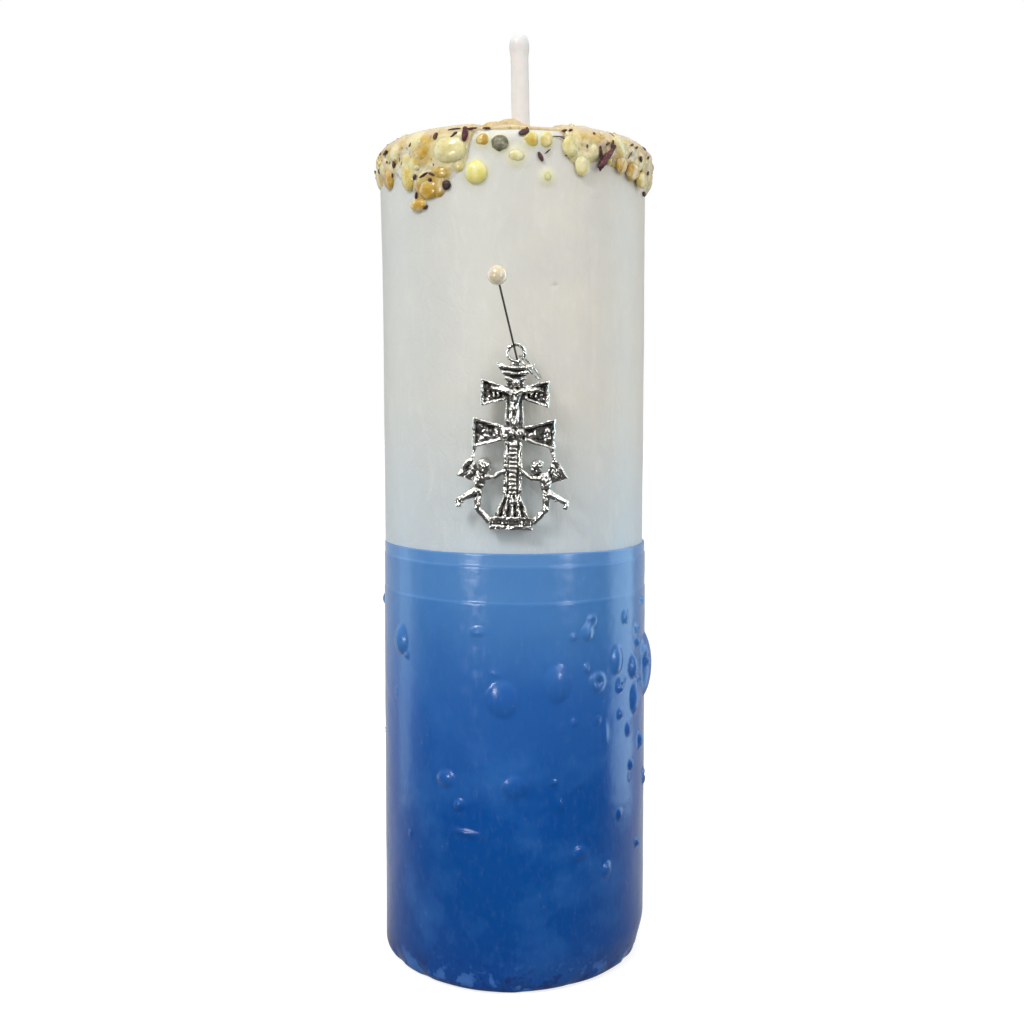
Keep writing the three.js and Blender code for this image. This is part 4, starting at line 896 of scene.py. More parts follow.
def stuck_places(nodes):
    """Each stuck piece's middle, outward direction and size along the surface, from its CAD mesh."""
    places = []
    for node in nodes:
        mesh = frame["nodes"][node].data
        points = np.empty(len(mesh.vertices) * 3)
        mesh.vertices.foreach_get("co", points)
        points = points.reshape(-1, 3) / MM
        middle = (points.min(axis=0) + points.max(axis=0)) / 2
        flat = math.hypot(middle[0], middle[1])
        out = Vector((middle[0] / flat, middle[1] / flat, 0.0)) if flat > 28 else Vector((0, 0, 1))
        across, up = spot_frame(out)
        spans = [np.ptp(points @ np.array(way)) for way in (across, up, out)]
        places.append((node, Vector(middle), out, spans))
    return places


def crust_spots(wax, crust, count, seed, reach=1.0):
    """Seeded places on the crust: angle, share, point in millimetres and outward direction."""
    dice = random.Random(seed)
    spots = []
    while len(spots) < count:
        angle = dice.uniform(-math.pi, math.pi)
        k = dice.random()
        if k < SIDE_SHARE:
            k = 0.05 + (SIDE_SHARE - 0.05) * dice.random()
        else:
            k = SIDE_SHARE + (1 - SIDE_SHARE) * (1 - math.sqrt(dice.random()))
        if k > reach or (k < SIDE_SHARE and lap_drop_at(np.array([angle]))[0] < 2.2):
            continue
        spots.append((angle, k, *crust_place(wax, crust, angle, k)))
    return spots


def lumpy_ball(bm, at, size, turn, detail, rough, dice):
    """Adds an uneven pebble to a bmesh, in millimetres."""
    made = bmesh.ops.create_icosphere(bm, subdivisions=detail, radius=0.5)
    seeds = [Vector([dice.uniform(-1, 1) for _ in range(3)]).normalized() for _ in range(4)]
    for v in made["verts"]:
        way = v.co.normalized()
        grow = 1 + sum((-1) ** i * rough * max(0.0, way.dot(s)) ** 2 for i, s in enumerate(seeds))
        v.co = turn @ Vector((v.co.x * size[0], v.co.y * size[1], v.co.z * size[2])) * grow
        v.co = (v.co + at) * MM


def resin_material(name, base, deep, weight=0.75, depth=1.8, rough=0.2):
    # Tree resin dried in lumps under a film of candle wax: light sinks in, turns warm, and the skin shines
    material, tree, shader, place = new_material(name)
    cloud = noise_node(tree, place, 2.6, 3.0, 0.55)
    tone = ramp_node(tree, cloud, [(0.28, deep), (0.52, base), (0.78, linear("#ece5c2"))])
    fine = noise_node(tree, place, 0.9, 4.0, 0.6)
    shine = grey_ramp(tree, fine, (0.3, rough), (0.75, rough + 0.2))
    link_shader(tree, shader, Base_Color=tone, Roughness=shine)
    shader_values(shader, IOR=1.5, Subsurface_Weight=weight, Subsurface_Scale=depth * MM,
                  Subsurface_Radius=(1.0, 0.85, 0.5), Coat_Weight=0.5, Coat_Roughness=0.08)
    bumped(tree, shader, fine, 0.14, 0.7, bumped(tree, shader, cloud, 0.3, 0.6))
    return material


def dry_material(name, tones, millimetres, rough, depth):
    # Bark, seed coats and petals: dry and matt, in three tones
    material, tree, shader, place = new_material(name)
    cloud = noise_node(tree, place, millimetres, 4.0, 0.65)
    link_shader(tree, shader, Base_Color=ramp_node(tree, cloud, list(zip((0.3, 0.55, 0.75), tones))))
    shader_values(shader, Roughness=rough, IOR=1.45)
    bumped(tree, shader, cloud, depth, 0.7)
    return material


# Small dark bits that show in front: degrees, millimetres below the top, length, width and tilt
FRONT_BITS = [
    (-70.4, 5.5, 1.2, 1.0, 0), (-55.2, 5.5, 1.6, 0.7, 8), (-31.3, 1.2, 1.5, 1.2, 0),
    (-34.0, 9.8, 1.2, 0.8, 80), (-37.0, 8.8, 2.6, 0.6, 70), (-33.2, 8.8, 1.8, 0.6, 110),
    (-42.0, 12.4, 1.6, 0.6, 20), (-37.6, 15.2, 1.4, 0.7, 60), (3.6, 1.1, 2.2, 1.5, 60),
    (5.2, 0.5, 1.0, 0.7, 0), (10.5, 5.9, 2.0, 0.9, -25), (13.2, 4.8, 1.5, 0.3, 50),
    (17.6, 1.7, 2.4, 0.25, 88), (20.6, 1.9, 2.2, 0.3, 100), (20.4, 0.5, 1.4, 0.6, 80),
    (22.4, 0.4, 1.0, 0.6, 60), (-24.0, 0.3, 2.8, 0.45, 88), (-17.6, 0.3, 3.4, 0.5, 86),
    (-11.4, 0.2, 1.8, 0.5, 84), (21.6, 5.2, 1.4, 0.4, 70), (37.6, 6.6, 3.0, 0.8, 6),
    (35.6, 4.4, 3.4, 0.7, -18), (41.0, 2.0, 1.6, 0.6, 30), (53.6, 1.6, 1.8, 0.5, 60),
    (59.7, 3.9, 1.4, 1.0, 10), (51.6, 3.6, 2.2, 0.35, 40), (62.4, 5.8, 2.0, 0.35, 12),
    (73.0, 10.2, 1.2, 0.9, 0), (-23.6, 1.4, 1.4, 0.4, 50), (-62.0, 2.4, 1.2, 0.8, 40),
    (68.0, 3.0, 1.4, 0.5, 50), (57.0, 1.8, 1.2, 0.5, 70),
]


STUCK_SLOTS = (
    "amber_resin", "frankincense", "pale_resin", "stuck_bead", "myrrh", "dark_seed", "dried_petal",
    "dried_berry")
# The crumbs' tones, each with its chance
GRAIN_TONES = (
    ("cream", 0.2), ("pink", 0.14), ("brown", 0.16), ("pale", 0.22), ("tear", 0.17), ("amber", 0.11))
GRAINS = 1000
# The bed is a flat ring at first, whose radius counts the way over the crust
BED_START = 10.0
BED_SPAN = 20.0
BED_ROWS = 124
BED_STEPS = 520
BATCH = 4000


def crust_pieces():
    """The CAD nodes of the pieces stuck in the crust or the wax."""
    return sorted(s["node"] for s in frame["record"]["subparts"] if s["material_slot"] in STUCK_SLOTS)


def oval_lumps(wax, crust, tone, dice):
    """The crust's lumps: middle, way out, width, height, tilt, rise, tone and how strong the tone is."""
    ovals = []
    for deg, down, wide, tall, tilt, rise, name in PATCHES:
        ovals.append((*surface_spot(wax, crust, deg, down), wide, tall, tilt, rise, tone[name], 1.0))
    for deg, k, wide, rise, name in CREST:
        middle, out = crust_place(wax, crust, math.radians(deg), k)
        ovals.append((middle, out, wide, wide, 0.0, rise, tone[name], 0.8))
    for node, middle, out, spans in stuck_places(crust_pieces()):
        shade = tone["amber" if "amber" in node else "pale" if "frank" in node else "pink"]
        rise = 0.45 if "amber" in node or "frank" in node else 0.0
        ovals.append((middle, out, spans[0] * 1.4 + 0.7, spans[1] * 1.4 + 0.7, 0.0, rise, shade, 0.7))
    rise = crust.lump / MM * 1.15
    for angle, k, wide in crust_lumps(wax):
        name = dice.choices(("pale", "tear", "amber", "cream", "pink"), (0.3, 0.25, 0.15, 0.15, 0.15))[0]
        size = wide * 1.15
        ovals.append((*crust_place(wax, crust, angle, k), size, size, 0.0, rise, tone[name], 0.8))
    return ovals


def bed_grains(wax, crust, tone, dice):
    """The bed's small crumbs as arrays: middles, half widths, rises and tones."""
    names, chances = zip(*GRAIN_TONES)
    middles, spans, rises, tones = [], [], [], []
    for angle, k, point, out in crust_spots(wax, crust, GRAINS, 5):
        middles.append(point)
        spans.append(dice.choice([0.45, 0.6, 0.8, 1.1]) * dice.uniform(0.85, 1.15))
        rises.append(spans[-1] * 0.3)
        tones.append(tone[dice.choices(names, chances)[0]])
    return [np.array(v) for v in (middles, spans, rises, tones)]


def bed_tone(tone, skin, deg, k, drop, below):
    """Tones of the creamy bed with its drifts of ground resin, and how much of it is plain wax."""
    drift = mottle(skin, 3.2, 21)[:, None]
    fine = mottle(skin, 1.3, 22)[:, None]
    shade = tone["cream"] + (tone["pink"] - tone["cream"]) * ramp(drift + 0.4 * fine, -0.15, 0.35)
    shade = shade + (tone["pale"] - shade) * ramp(-drift, 0.15, 0.6) * 0.8
    hung = ramp(deg, -48, -44) * (1 - ramp(deg, -30, -26)) * ramp(below, 7.5, 9.5)
    shade = shade + (tone["brown"] - shade) * hung[:, None] * ramp(fine, -0.3, 0.5)
    # plain wax in front, along the lower edge and on the inner part of the left side
    edge = (1 - ramp(k, 0.05, 0.13)) * (1 - 0.9 * hung) * (1 - 0.7 * ramp(np.abs(deg), 62, 72))
    bare = np.maximum(np.maximum(1 - ramp(drop, 0.3, 2.5), front_wax(deg)), edge) * (k < 0.5)
    inner_left = ramp(deg, -52, -46) * (1 - ramp(deg, -20, -16)) * (1 - hung) * 0.5
    bare = np.maximum(bare, inner_left * (k < SIDE_SHARE))
    return shade + (tone["wax"] - shade) * bare[:, None], bare


class CANDLE_OT_crust(bpy.types.Operator):
    """Makes the crust's bed and the loose crumbs in it"""
    bl_idname = "candle.crust"
    bl_label = "Crust"

    def execute(self, context):
        wax, crust = context.scene.candle_wax, context.scene.candle_crust
        bm = turned([(BED_START + BED_SPAN * i / BED_ROWS, 0.0) for i in range(BED_ROWS + 1)], BED_STEPS)
        tone = {name: np.array(getattr(crust, name)[:]) for name in (
            "wax", "cream", "pink", "brown", "amber", "gold", "tear", "pale", "plum")}
        dice = random.Random(9)
        ovals = oval_lumps(wax, crust, tone, dice)
        grains, spans, rises, tones = bed_grains(wax, crust, tone, dice)
        paint = []

        def move(p):
            angle, share = polar(p)
            k = (share - BED_START) / BED_SPAN
            drop = lap_drop_at(angle)
            r, z = crust_section(wax, crust, angle, k)
            skin = from_polar(angle, r, z)
            shade, bare = bed_tone(tone, skin, np.degrees(angle), k, drop, wax.top / MM - z)
            resin = np.zeros(len(k))
            rise = np.zeros(len(k))
            # small crumbs
            warped = skin + 0.3 * np.stack([mottle(skin, 1.4, i) for i in (5, 6, 7)], axis=1)
            for start in range(0, len(skin), BATCH):
                part = slice(start, start + BATCH)
                gap = np.linalg.norm(warped[part, None] - grains[None], axis=2) / spans[None]
                dome = np.clip(1 - gap ** 2, 0, 1) ** 0.7 * rises[None]
                own = dome.argmax(axis=1)
                high = dome.max(axis=1)
                rise[part] = high
                weight = (ramp(high / rises[own], 0.05, 0.4) * (1 - 0.75 * bare[part]))[:, None]
                shade[part] = shade[part] + (tones[own] - shade[part]) * weight
            # lumps: each has its own tone, paler towards its edge where the wax runs over it
            for centre, out, wide, tall, tilt, high, own, strength in ovals:
                near = mound(warped, centre, out, wide, tall, tilt)
                hit = near > 0
                if not hit.any():
                    continue
                lift = high * near ** 0.5
                weight = (ramp(near, 0.0, 0.28) * strength)[:, None]
                taller = lift > rise
                shade = np.where(hit[:, None], shade + (own - shade) * weight, shade)
                resin = np.where(hit, np.maximum(resin, ramp(near, 0.05, 0.4) * strength), resin)
                rise = np.where(taller, lift, rise)
            paint.append(np.concatenate([np.clip(shade, 0, 1), resin[:, None]], axis=1))
            r2, z2 = crust_section(wax, crust, angle, k + 0.02)
            size = np.maximum(np.hypot(r2 - r, z2 - z), 1e-6)
            out_r, out_z = (z2 - z) / size, (r - r2) / size
            rough = 0.1 * mottle(skin, 1.0, 3) + 0.06 * mottle(skin, 0.5, 4)
            grow = rise - 0.12 + rough * (1 - 0.6 * resin) * (1 - 0.6 * bare)
            grow = grow * (1 - ramp(k, 0.985, 1.0)) * ramp(k, 0.0, 0.04)
            covered = 0.3 + 0.7 * ramp(drop, 0.5, 3)
            grow = np.where(k < 0.5, grow * covered, grow)
            foot = 0.4 * mottle(skin, 2.2, 9) * (1 - ramp(k, 0.0, 0.12)) * ramp(drop, 1.5, 4)
            return from_polar(angle, r + out_r * grow, z + out_z * grow + foot)

        reshape(bm, move)
        layer = bm.verts.layers.float_color.new("lump_tone")
        for v, value in zip(bm.verts, paint[0]):
            v[layer] = value
        open_edges = [e for e in bm.edges if e.is_boundary]
        bmesh.ops.bridge_loops(bm, edges=open_edges)
        finish_piece(bm, "crust_bed", crust_material(crust), stands_for=["resin_crust"])

        kinds = [
            ("crumbs_of_amber_resin", 34, 0.9, 1.8, (0.8, 1.25), 71, "amber_resin",
             resin_material("Amber resin crumbs", crust.amber, crust.gold)),
            ("crumbs_of_yellow_resin", 60, 0.9, 1.9, (0.8, 1.2), 72, "frankincense",
             resin_material("Yellow resin crumbs", crust.tear, linear("#c9b464"))),
            ("crumbs_of_pale_wax", 50, 0.9, 1.8, (0.8, 1.2), 73, "pale_resin",
             resin_material("Pale resin crumbs", crust.pale, crust.cream)),
        ]
        for name, count, least, most, stretch, seed, slot, material in kinds:
            dice = random.Random(seed)
            bm = bmesh.new()
            for angle, k, point, out in crust_spots(wax, crust, count, seed, 0.97):
                size = dice.uniform(least, most) * (0.8 if k < 0.4 else 1.0)
                turn = Matrix.Rotation(dice.uniform(0, 6.28), 3, out)
                spread = [size * dice.uniform(*stretch) for _ in range(3)]
                middle = point + out * (crust.lump / MM * 0.3 - size * 0.22)
                lumpy_ball(bm, middle, spread, turn, 2, 0.14, dice)
            finish_piece(bm, name, material)

        # Bark, seed and petal flakes: dry, dark and thin
        dice = random.Random(31)
        bm = bmesh.new()
        for angle, k, point, out in crust_spots(wax, crust, 150, 44, 0.97):
            face = out.to_track_quat("Z", "Y").to_matrix() @ Matrix.Rotation(dice.uniform(0, 6.28), 3, "Z")
            size = (dice.uniform(0.6, 1.7), dice.uniform(0.4, 0.9), 0.4)
            lumpy_ball(bm, point + out * 0.25, size, face, 2, 0.3, dice)
        for deg, down, long, wide, tilt in FRONT_BITS:
            point, out = surface_spot(wax, crust, deg, down)
            across, up = spot_frame(out, tilt)
            face = Matrix((up, -across, out)).transposed()
            lumpy_ball(bm, point + out * 0.35, (long, wide, min(wide, 0.7)), face, 3, 0.25, dice)
        flakes = dry_material(
            "Dried bark and petals", (linear("#2b1715"), crust.bark, linear("#80584a")), 1.0, 0.6, 0.1)
        finish_piece(bm, "bark_flakes", flakes)
        return {"FINISHED"}


# How uneven and how flat each kind of round piece is
PEBBLES = {"dried_berry": (0.3, 0.8), "stuck_bead": (0.04, 0.8), "dark_seed": (0.08, 0.8)}


class CANDLE_OT_stuck(bpy.types.Operator):
    """Makes the tears, lumps, seeds and petals that are pieces of their own"""
    bl_idname = "candle.stuck"
    bl_label = "Tears, seeds and petals"

    def execute(self, context):
        crust = context.scene.candle_crust
        looks = {
            "amber_resin": resin_material("Amber resin, clear lump", crust.amber, crust.gold),
            "frankincense": resin_material("Frankincense tear", crust.tear, linear("#c9ae48")),
            "pale_resin": resin_material("Frankincense, cloudy", crust.pale, linear("#cfc074")),
            "stuck_bead": resin_material(
                "Frankincense bead in wax", linear("#e2d986"), linear("#dccf6c"), 0.9, 2.4, 0.3),
            "myrrh": resin_material("Myrrh lump", linear("#6e3f26"), linear("#3a1f14"), 0.25, 0.8, 0.35),
            "dark_seed": dry_material(
                "Seed coat", (linear("#1c120e"), linear("#38231a"), linear("#5c4636")), 0.9, 0.45, 0.08),
            "dried_petal": dry_material(
                "Dried petal", (linear("#321318"), linear("#5a2a30"), linear("#8d5d58")), 1.1, 0.65, 0.12),
            "dried_berry": dry_material(
                "Dried berry", (linear("#34342a"), linear("#77745c"), linear("#bbb8a2")), 1.6, 0.35, 0.5),
        }
        slots = {s["node"]: s["material_slot"] for s in frame["record"]["subparts"]}
        sunk = [node for node, reach in STUCK_IN_WAX]
        for number, (node, slot) in enumerate(sorted(slots.items())):
            if slot not in looks:
                continue
            if slot == "dried_petal":
                bm = cad_copy(node)
                bmesh.ops.subdivide_edges(bm, edges=bm.edges, cuts=2, use_grid_fill=True, smooth=1.0)
                centre = np.array(sum(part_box(node), Vector()) / 2 / MM)
                reshape(bm, lambda p: p + 0.1 * (p - centre) * mottle(p, 1.2, number + 3)[:, None])
            else:
                _, middle, out, spans = stuck_places([node])[0]
                across, up = spot_frame(out)
                rough, flat = PEBBLES.get(slot, (0.18, 0.85 if node in sunk else 0.75))
                bm = bmesh.new()
                bmesh.ops.create_icosphere(bm, subdivisions=4, radius=1.0)

                def move(p):
                    unit = p * MM
                    wide = 1.12 if slot in ("frankincense", "pale_resin", "amber_resin") else 1.0
                    x, y, w = (unit @ np.array(way) for way in (across, up, out))
                    w = np.where(w > 0, w * flat, w)
                    local = np.outer(x * spans[0] / 2 * wide, across) + np.outer(y * spans[1] / 2 * wide, up)
                    local = local + np.outer(w * spans[2] / 2, out)
                    grow = rough * mottle(local, 1.9, number + 3)
                    grow = grow + 0.4 * rough * mottle(local, 0.8, number + 40)
                    return np.array(middle) + local * (1 + grow[:, None] / np.maximum(
                        np.linalg.norm(local, axis=1, keepdims=True), 0.6))

                reshape(bm, move)
            piece = finish_piece(bm, "shown_" + node, looks[slot], stands_for=[node], tidy=False)
            if slot == "dried_petal":
                subdivided(piece, 1)
        return {"FINISHED"}


# Cross, ring and pin
def silver_material(metal):
    # Cast white metal, plated and darkened: high spots are polished, hollows keep the brown-black
    material, tree, shader, place = new_material("Cast white metal, plated and darkened")
    hollow = add_node(tree, "ShaderNodeAmbientOcclusion", {"samples": 8, "only_local": True}, {
        "Distance": 0.0012}).outputs["AO"]
    worn = scaled(tree, noise_node(tree, place, 0.9, 4.0, 0.6), 0.5, -0.25)
    shade = combine(tree, "ADD", hollow, worn)
    tone = ramp_node(tree, shade, [(0.3, metal.recess), (0.52, linear("#8c8072")), (0.7, metal.silver)])
    # low spots, by the relief measured on the casting itself, keep the dark plating
    relief = add_node(tree, "ShaderNodeAttribute", {"attribute_name": "relief"}).outputs["Fac"]
    uneven = combine(tree, "ADD", relief, worn)
    low = grey_ramp(tree, uneven, (0.28, 0.12), (0.4, 0.45), (0.5, 0.9), (0.6, 1.0))
    link_shader(tree, shader, Base_Color=mix_colour(tree, 1.0, tone, low, "MULTIPLY"),
                Roughness=grey_ramp(tree, shade, (0.4, 0.5), (0.8, 0.16)))
    shader_values(shader, Metallic=1.0)
    # the rough skin of a sand-soft mould: dimples half a millimetre and a millimetre across
    first = bumped(tree, shader, noise_node(tree, place, 1.3, 2.0, 0.5), 0.35, 0.8)
    bumped(tree, shader, noise_node(tree, place, 0.5, 3.0, 0.6), 0.1, 0.8, first)
    return material


# Soft lumps of the casting, hair, limbs and folds: millimetres across, millimetres up and radius
CAST_LUMPS = [
    (-7.0, 116.4, 0.42), (-6.2, 116.8, 0.45), (-5.3, 116.4, 0.42), (-4.9, 115.4, 0.38), (-7.1, 115.5, 0.35),
    (-6.3, 115.3, 0.3), (-5.7, 114.9, 0.28), (4.0, 116.2, 0.42), (4.8, 116.6, 0.45), (5.7, 116.2, 0.42),
    (6.0, 115.3, 0.38), (3.9, 115.3, 0.35), (4.7, 115.1, 0.3), (-0.3, 132.4, 0.42), (1.1, 132.4, 0.42),
    (-0.6, 131.0, 0.5), (1.0, 130.8, 0.5), (0.2, 130.0, 0.45), (-1.6, 131.5, 0.4), (2.3, 131.5, 0.4),
    (0.2, 128.0, 0.42), (-0.0, 126.2, 0.4), (0.7, 125.3, 0.36), (-2.0, 122.4, 0.95), (-0.6, 122.9, 0.6),
    (1.3, 122.0, 0.6), (0.3, 121.1, 0.5), (-5.0, 130.6, 0.28), (-5.5, 129.9, 0.28), (-4.4, 129.7, 0.25),
    (5.6, 130.8, 0.28), (6.3, 130.0, 0.28), (5.1, 129.8, 0.25), (-6.3, 123.4, 0.3), (-5.5, 122.4, 0.3),
    (-6.7, 122.0, 0.28), (7.0, 123.4, 0.3), (6.3, 122.2, 0.3), (7.5, 121.8, 0.28), (-7.6, 113.2, 0.4),
    (-7.1, 112.1, 0.36), (6.2, 113.2, 0.4), (5.9, 111.9, 0.36), (-7.9, 110.7, 0.34), (6.5, 110.5, 0.34),
    (-1.1, 107.5, 0.3), (-0.0, 106.4, 0.32), (1.0, 107.7, 0.3), (-1.8, 105.7, 0.3), (1.7, 105.7, 0.3),
    (-0.4, 103.2, 0.35), (1.4, 103.4, 0.3), (-2.5, 103.2, 0.3), (-10.8, 108.7, 0.36), (8.8, 108.7, 0.36),
    (-11.8, 107.8, 0.38), (11.1, 107.7, 0.38),
]
# How far a soft lump's middle lies inside the skin, as a share of its radius
LUMP_SINK = 0.35
# The heights between which the cast roughness fades towards the loop, in millimetres
LOOP_FADE = (134.8, 137.2)
SMOOTH_PASSES = 24
# The whole range of the relief from its darkest to its brightest, in millimetres
RELIEF_SPAN = 0.4


def add_soft_lumps(bm):
    """Sets a small ball in the front face of the casting at each place in the list."""
    shape = BVHTree.FromBMesh(bm)
    ahead = Vector((0, 1, 0))
    for x, up, radius in CAST_LUMPS:
        hit = shape.ray_cast(Vector((x, -60, up)) * MM, ahead)[0]
        if hit:
            made = bmesh.ops.create_icosphere(bm, subdivisions=2, radius=radius * MM)
            for v in made["verts"]:
                v.co = v.co + hit + ahead * radius * MM * LUMP_SINK


def relief_of(mesh, points, normals):
    """How far each vertex stands out of the surface smoothed over half a millimetre, in millimetres."""
    ends = np.empty(2 * len(mesh.edges), dtype=np.int32)
    mesh.edges.foreach_get("vertices", ends)
    a, b = ends[0::2], ends[1::2]
    count = len(points)
    around = np.bincount(ends, minlength=count)[:, None]
    soft = points
    for _ in range(SMOOTH_PASSES):
        total = [np.bincount(a, soft[b, i], count) + np.bincount(b, soft[a, i], count) for i in range(3)]
        soft = np.stack(total, axis=1) / around
    return np.sum((points - soft) * normals, axis=1)


class CANDLE_OT_cross(bpy.types.Operator):
    """Makes the cast cross with its fine relief"""
    bl_idname = "candle.cross"
    bl_label = "Cross"

    def execute(self, context):
        metal = context.scene.candle_metal
        bm = cad_copy("cross_casting")
        add_soft_lumps(bm)
        material = silver_material(metal)
        piece = finish_piece(bm, "cross_cast", material, body="cross", stands_for=["cross_casting"],
                             tidy=False)
        remesh = piece.modifiers.new("Casting skin", "REMESH")
        remesh.mode = "VOXEL"
        remesh.voxel_size = metal.grain
        ease = piece.modifiers.new("Soft edges", "SMOOTH")
        ease.factor = 0.5
        ease.iterations = 2
        bake_modifiers(piece)
        mesh = piece.data
        points = np.empty(len(mesh.vertices) * 3)
        normals = np.empty_like(points)
        mesh.vertices.foreach_get("co", points)
        mesh.vertex_normals.foreach_get("vector", normals)
        points, normals = points.reshape(-1, 3) / MM, normals.reshape(-1, 3)
        rough = 0.16 * mottle(points, 1.3, 11) + 0.09 * mottle(points, 0.6, 12)
        # the loop is worn smooth by the pin and the ring that move in it
        rough = rough * (1 - 0.9 * ramp(points[:, 2], *LOOP_FADE))
        points = points + normals * rough[:, None]
        mesh.vertices.foreach_set("co", (points * MM).ravel())
        relief = np.clip(0.5 + relief_of(mesh, points, normals) / RELIEF_SPAN, 0, 1)
        mesh.attributes.new("relief", "FLOAT", "POINT").data.foreach_set("value", relief.astype(np.float32))
        mesh.shade_smooth()
        if not mesh.materials:
            mesh.materials.append(material)
        return {"FINISHED"}


class CANDLE_OT_ring(bpy.types.Operator):
    """Makes the jump ring"""
    bl_idname = "candle.ring"
    bl_label = "Jump ring"

    def execute(self, context):
        # Plated brass wire, drawn round and bent
        material, tree, shader, place = new_material("Plated wire")
        grain = noise_node(tree, place, 0.6, 3.0, 0.6)
        tone = ramp_node(tree, grain, [(0.3, linear("#a5a29b")), (0.7, linear("#d6d4ce"))])
        link_shader(tree, shader, Base_Color=tone, Roughness=grey_ramp(tree, grain, (0.3, 0.16), (0.7, 0.3)))
        shader_values(shader, Metallic=1.0)
        bm = cad_copy("jump_ring")
        piece = finish_piece(bm, "ring_wire_shown", material, body="ring", stands_for=["jump_ring"],
                             tidy=False)
        subdivided(piece, 2)
        return {"FINISHED"}


class CANDLE_OT_pin(bpy.types.Operator):
    """Makes the pin and its pearl head"""
    bl_idname = "candle.pin"
    bl_label = "Pin"

    def execute(self, context):
        metal = context.scene.candle_metal
        # Hardened steel wire, drawn and polished: dark with a line of light
        material, tree, shader, place = new_material("Steel wire, drawn")
        grain = noise_node(tree, place, 0.7, 3.0, 0.6)
        link_shader(tree, shader, Roughness=grey_ramp(tree, grain, (0.3, 0.25), (0.7, 0.38)))
        shader_values(shader, Base_Color=rgba(metal.steel), Metallic=1.0)
        dress("pin_shaft", material)
        # Pearl coat on glass: cloudy, warm below, with a sharp shine
        material, tree, shader, place = new_material("Glass bead, pearl coated")
        cloud = noise_node(tree, place, 2.0, 3.0, 0.6)
        tone = ramp_node(tree, cloud, [
            (0.3, linear("#d8cfa0")), (0.55, metal.pearl), (0.75, linear("#f4f1e6"))])
        link_shader(tree, shader, Base_Color=tone)
        shader_values(shader, Roughness=0.08, IOR=1.55, Subsurface_Weight=0.5, Subsurface_Scale=0.001,
                      Coat_Weight=1.0, Coat_Roughness=0.03, Transmission_Weight=0.25)
        bm = cad_copy("pin_head")
        piece = finish_piece(bm, "pearl_head", material, stands_for=["pin_head"], tidy=False)
        subdivided(piece, 2)
        return {"FINISHED"}


# Stage
def ray_kinds(tree):
    """The light path's outputs, and 1 for what the camera sees, straight or through clear pieces."""
    rays = add_node(tree, "ShaderNodeLightPath").outputs
    return rays, combine(tree, "MAXIMUM", rays["Is Camera Ray"], rays["Is Transmission Ray"])


def studio_world():
    """A white room that is dimmer on the camera's side, as a studio is."""
    world = bpy.data.worlds.new("Studio")
    world.use_nodes = True
    tree = world.node_tree
    tree.nodes.clear()
    rays, seen = ray_kinds(tree)
    axes = split_axes(tree, add_node(tree, "ShaderNodeTexCoord").outputs["Generated"])
    room = grey_ramp(tree, map_range(tree, axes["Y"], -1.0, 1.0), (0.0, 0.1), (0.36, 0.2), (0.5, 0.8),
                     (0.68, 1.0), (0.82, 0.6), (1.0, 0.45))
    ceiling = grey_ramp(tree, axes["Z"], (0.25, 0.0), (0.6, 1.0))
    room = mix_colour(tree, ceiling, room, grey(1.0))
    light = mix_colour(tree, rays["Is Glossy Ray"], grey(0.78), room)
    light = mix_colour(tree, seen, light, grey(1.0))
    sky = add_node(tree, "ShaderNodeBackground", None, {"Strength": 1.0}, {"Color": light})
    add_node(tree, "ShaderNodeOutputWorld", None, None, {"Surface": sky.outputs["Background"]})
    return world


def paper_floor():
    # Matt white paper: it shows as the white backdrop and still takes the candle's shadow
    material, tree, shader, place = new_material("Paper sweep, matt white")
    rays, seen = ray_kinds(tree)
    # painted reflection: to glossy rays the floor is near black and glows, faint in front and brighter
    # towards the back
    painted_reflection_glow = map_range(tree, split_axes(tree, place)["Y"], -0.06, 0.03, 0.02, 0.6)
    glow = mix_colour(tree, rays["Is Glossy Ray"], grey(0.0), painted_reflection_glow)
    glow = mix_colour(tree, seen, glow, grey(0.76))
    matt = grey_ramp(tree, noise_node(tree, place, 1.5, 3.0, 0.6), (0.3, 0.38), (0.7, 0.42))
    link_shader(tree, shader, Emission_Color=glow,
                Base_Color=mix_colour(tree, rays["Is Glossy Ray"], matt, grey(0.05)))
    shader_values(shader, Roughness=1.0, Emission_Strength=1.0, Specular_IOR_Level=0.0)
    return material


# Lamps: name, degrees from the front, metres away, metres up, width, height, watts, and whether they light
# the wax or only show in its shine
LAMPS = [
    ("key_softbox", -38, 0.74, 0.77, 0.22, 0.22, 4.4, True),
    ("fill_softbox", 46, 0.93, 0.47, 0.5, 0.5, 1.85, True),
    ("top_softbox", 20, 0.22, 0.87, 0.3, 0.3, 0.7, True),
    ("left_strip", -100, 0.135, 0.15, 0.04, 0.3, 0.045, False),
    ("right_strip", 98, 0.135, 0.15, 0.07, 0.3, 0.17, False),
    ("glint_left", -34, 0.5, 0.09, 0.1, 0.07, 0.5, False),
    ("glint_right", 44, 0.5, 0.09, 0.06, 0.06, 0.2, False),
]


STRIP_BLUE = (0.5, 0.8, 1.0)
# The height in metres at which the lamps that light the wax aim
AIM_HEIGHT = 0.1
# The camera that took the photograph: where it stood, how far it looked down, and how long its lens was
SENSOR_WIDTH = 36.0
PHOTO_PIXELS = 1024
FOCAL_PIXELS = 1268.6
CAMERA_PLACE = (-0.0004, -0.2963, 0.1320)
CAMERA_DIP = 5.53


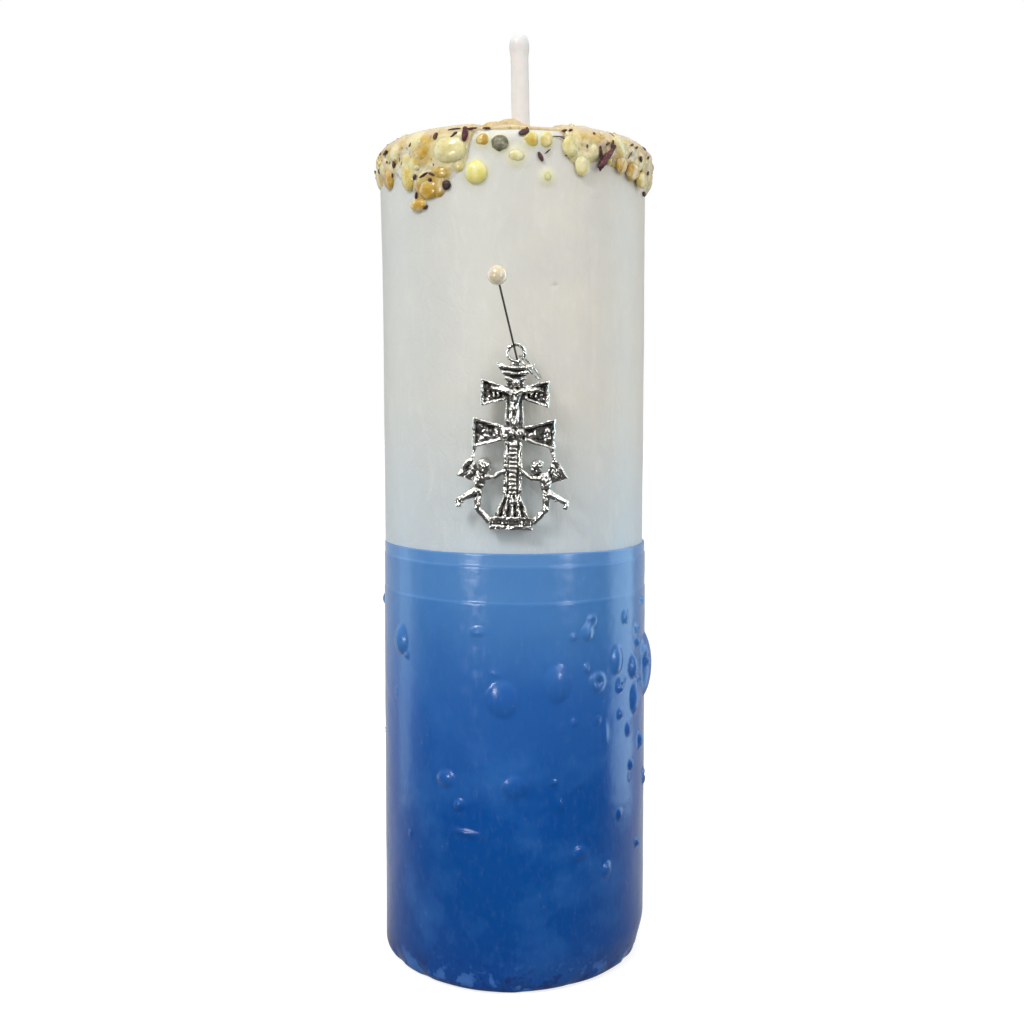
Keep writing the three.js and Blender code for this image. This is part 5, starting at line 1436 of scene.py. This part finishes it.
class CANDLE_OT_stage(bpy.types.Operator):
    """Sets the floor, the light and the camera"""
    bl_idname = "candle.stage"
    bl_label = "Stage"

    def execute(self, context):
        scene = context.scene
        scene.view_settings.view_transform = "Standard"
        bm = bmesh.new()
        bmesh.ops.create_grid(bm, x_segments=1, y_segments=1, size=3.0)
        mesh = bpy.data.meshes.new("studio_floor")
        bm.to_mesh(mesh)
        bm.free()
        floor = bpy.data.objects.new("studio_floor", mesh)
        scene.collection.objects.link(floor)
        mesh.materials.append(paper_floor())
        scene.world = studio_world()
        for name, deg, away, up, wide, tall, watts, lights_wax in LAMPS:
            light = bpy.data.lights.new(name, "AREA")
            light.shape = "RECTANGLE"
            light.size, light.size_y = wide, tall
            light.energy = watts
            if name.endswith("strip"):
                light.color = STRIP_BLUE
            lamp = bpy.data.objects.new(name, light)
            at = at_angle(deg, away, up)
            aim = Vector((0, 0, AIM_HEIGHT if lights_wax else up))
            lamp.location = at
            lamp.rotation_euler = (aim - at).to_track_quat("-Z", "Y").to_euler()
            lamp.visible_diffuse = lights_wax
            lamp.visible_camera = False
            scene.collection.objects.link(lamp)

        camera = bpy.data.cameras.new("photo_camera")
        camera.sensor_width = SENSOR_WIDTH
        camera.lens = SENSOR_WIDTH * FOCAL_PIXELS / PHOTO_PIXELS
        camera.clip_start = 0.01
        view = bpy.data.objects.new("photo_camera", camera)
        view.location = CAMERA_PLACE
        view.rotation_euler = (math.radians(90 - CAMERA_DIP), 0.0, 0.0)
        scene.collection.objects.link(view)
        scene.camera = view
        return {"FINISHED"}


class CANDLE_PT_panel(bpy.types.Panel):
    """Lists the candle's settings and pieces"""
    bl_idname = "CANDLE_PT_panel"
    bl_label = "Prayer candle"
    bl_space_type = "VIEW_3D"
    bl_region_type = "UI"
    bl_category = "Candle"

    def draw(self, context):
        layout = self.layout
        for group in (context.scene.candle_wax, context.scene.candle_crust, context.scene.candle_metal):
            box = layout.box()
            for key in group.__annotations__:
                box.prop(group, key)
        for operator in OPERATORS:
            layout.operator(operator.bl_idname)


OPERATORS = [CANDLE_OT_stage, CANDLE_OT_pillar, CANDLE_OT_coat, CANDLE_OT_wick, CANDLE_OT_crust,
             CANDLE_OT_stuck, CANDLE_OT_cross, CANDLE_OT_ring, CANDLE_OT_pin]
CLASSES = [WaxSettings, CrustSettings, MetalSettings, *OPERATORS, CANDLE_PT_panel]


def register():
    for cls in CLASSES:
        bpy.utils.register_class(cls)
    bpy.types.Scene.candle_wax = bpy.props.PointerProperty(type=WaxSettings)
    bpy.types.Scene.candle_crust = bpy.props.PointerProperty(type=CrustSettings)
    bpy.types.Scene.candle_metal = bpy.props.PointerProperty(type=MetalSettings)


def unregister():
    del bpy.types.Scene.candle_metal
    del bpy.types.Scene.candle_crust
    del bpy.types.Scene.candle_wax
    for cls in reversed(CLASSES):
        bpy.utils.unregister_class(cls)


def main():
    register()
    bpy.ops.candle.stage()
    bpy.ops.candle.pillar()
    bpy.ops.candle.coat()
    bpy.ops.candle.wick()
    bpy.ops.candle.crust()
    bpy.ops.candle.stuck()
    bpy.ops.candle.cross()
    bpy.ops.candle.ring()
    bpy.ops.candle.pin()


if __name__ == "__main__":
    main()
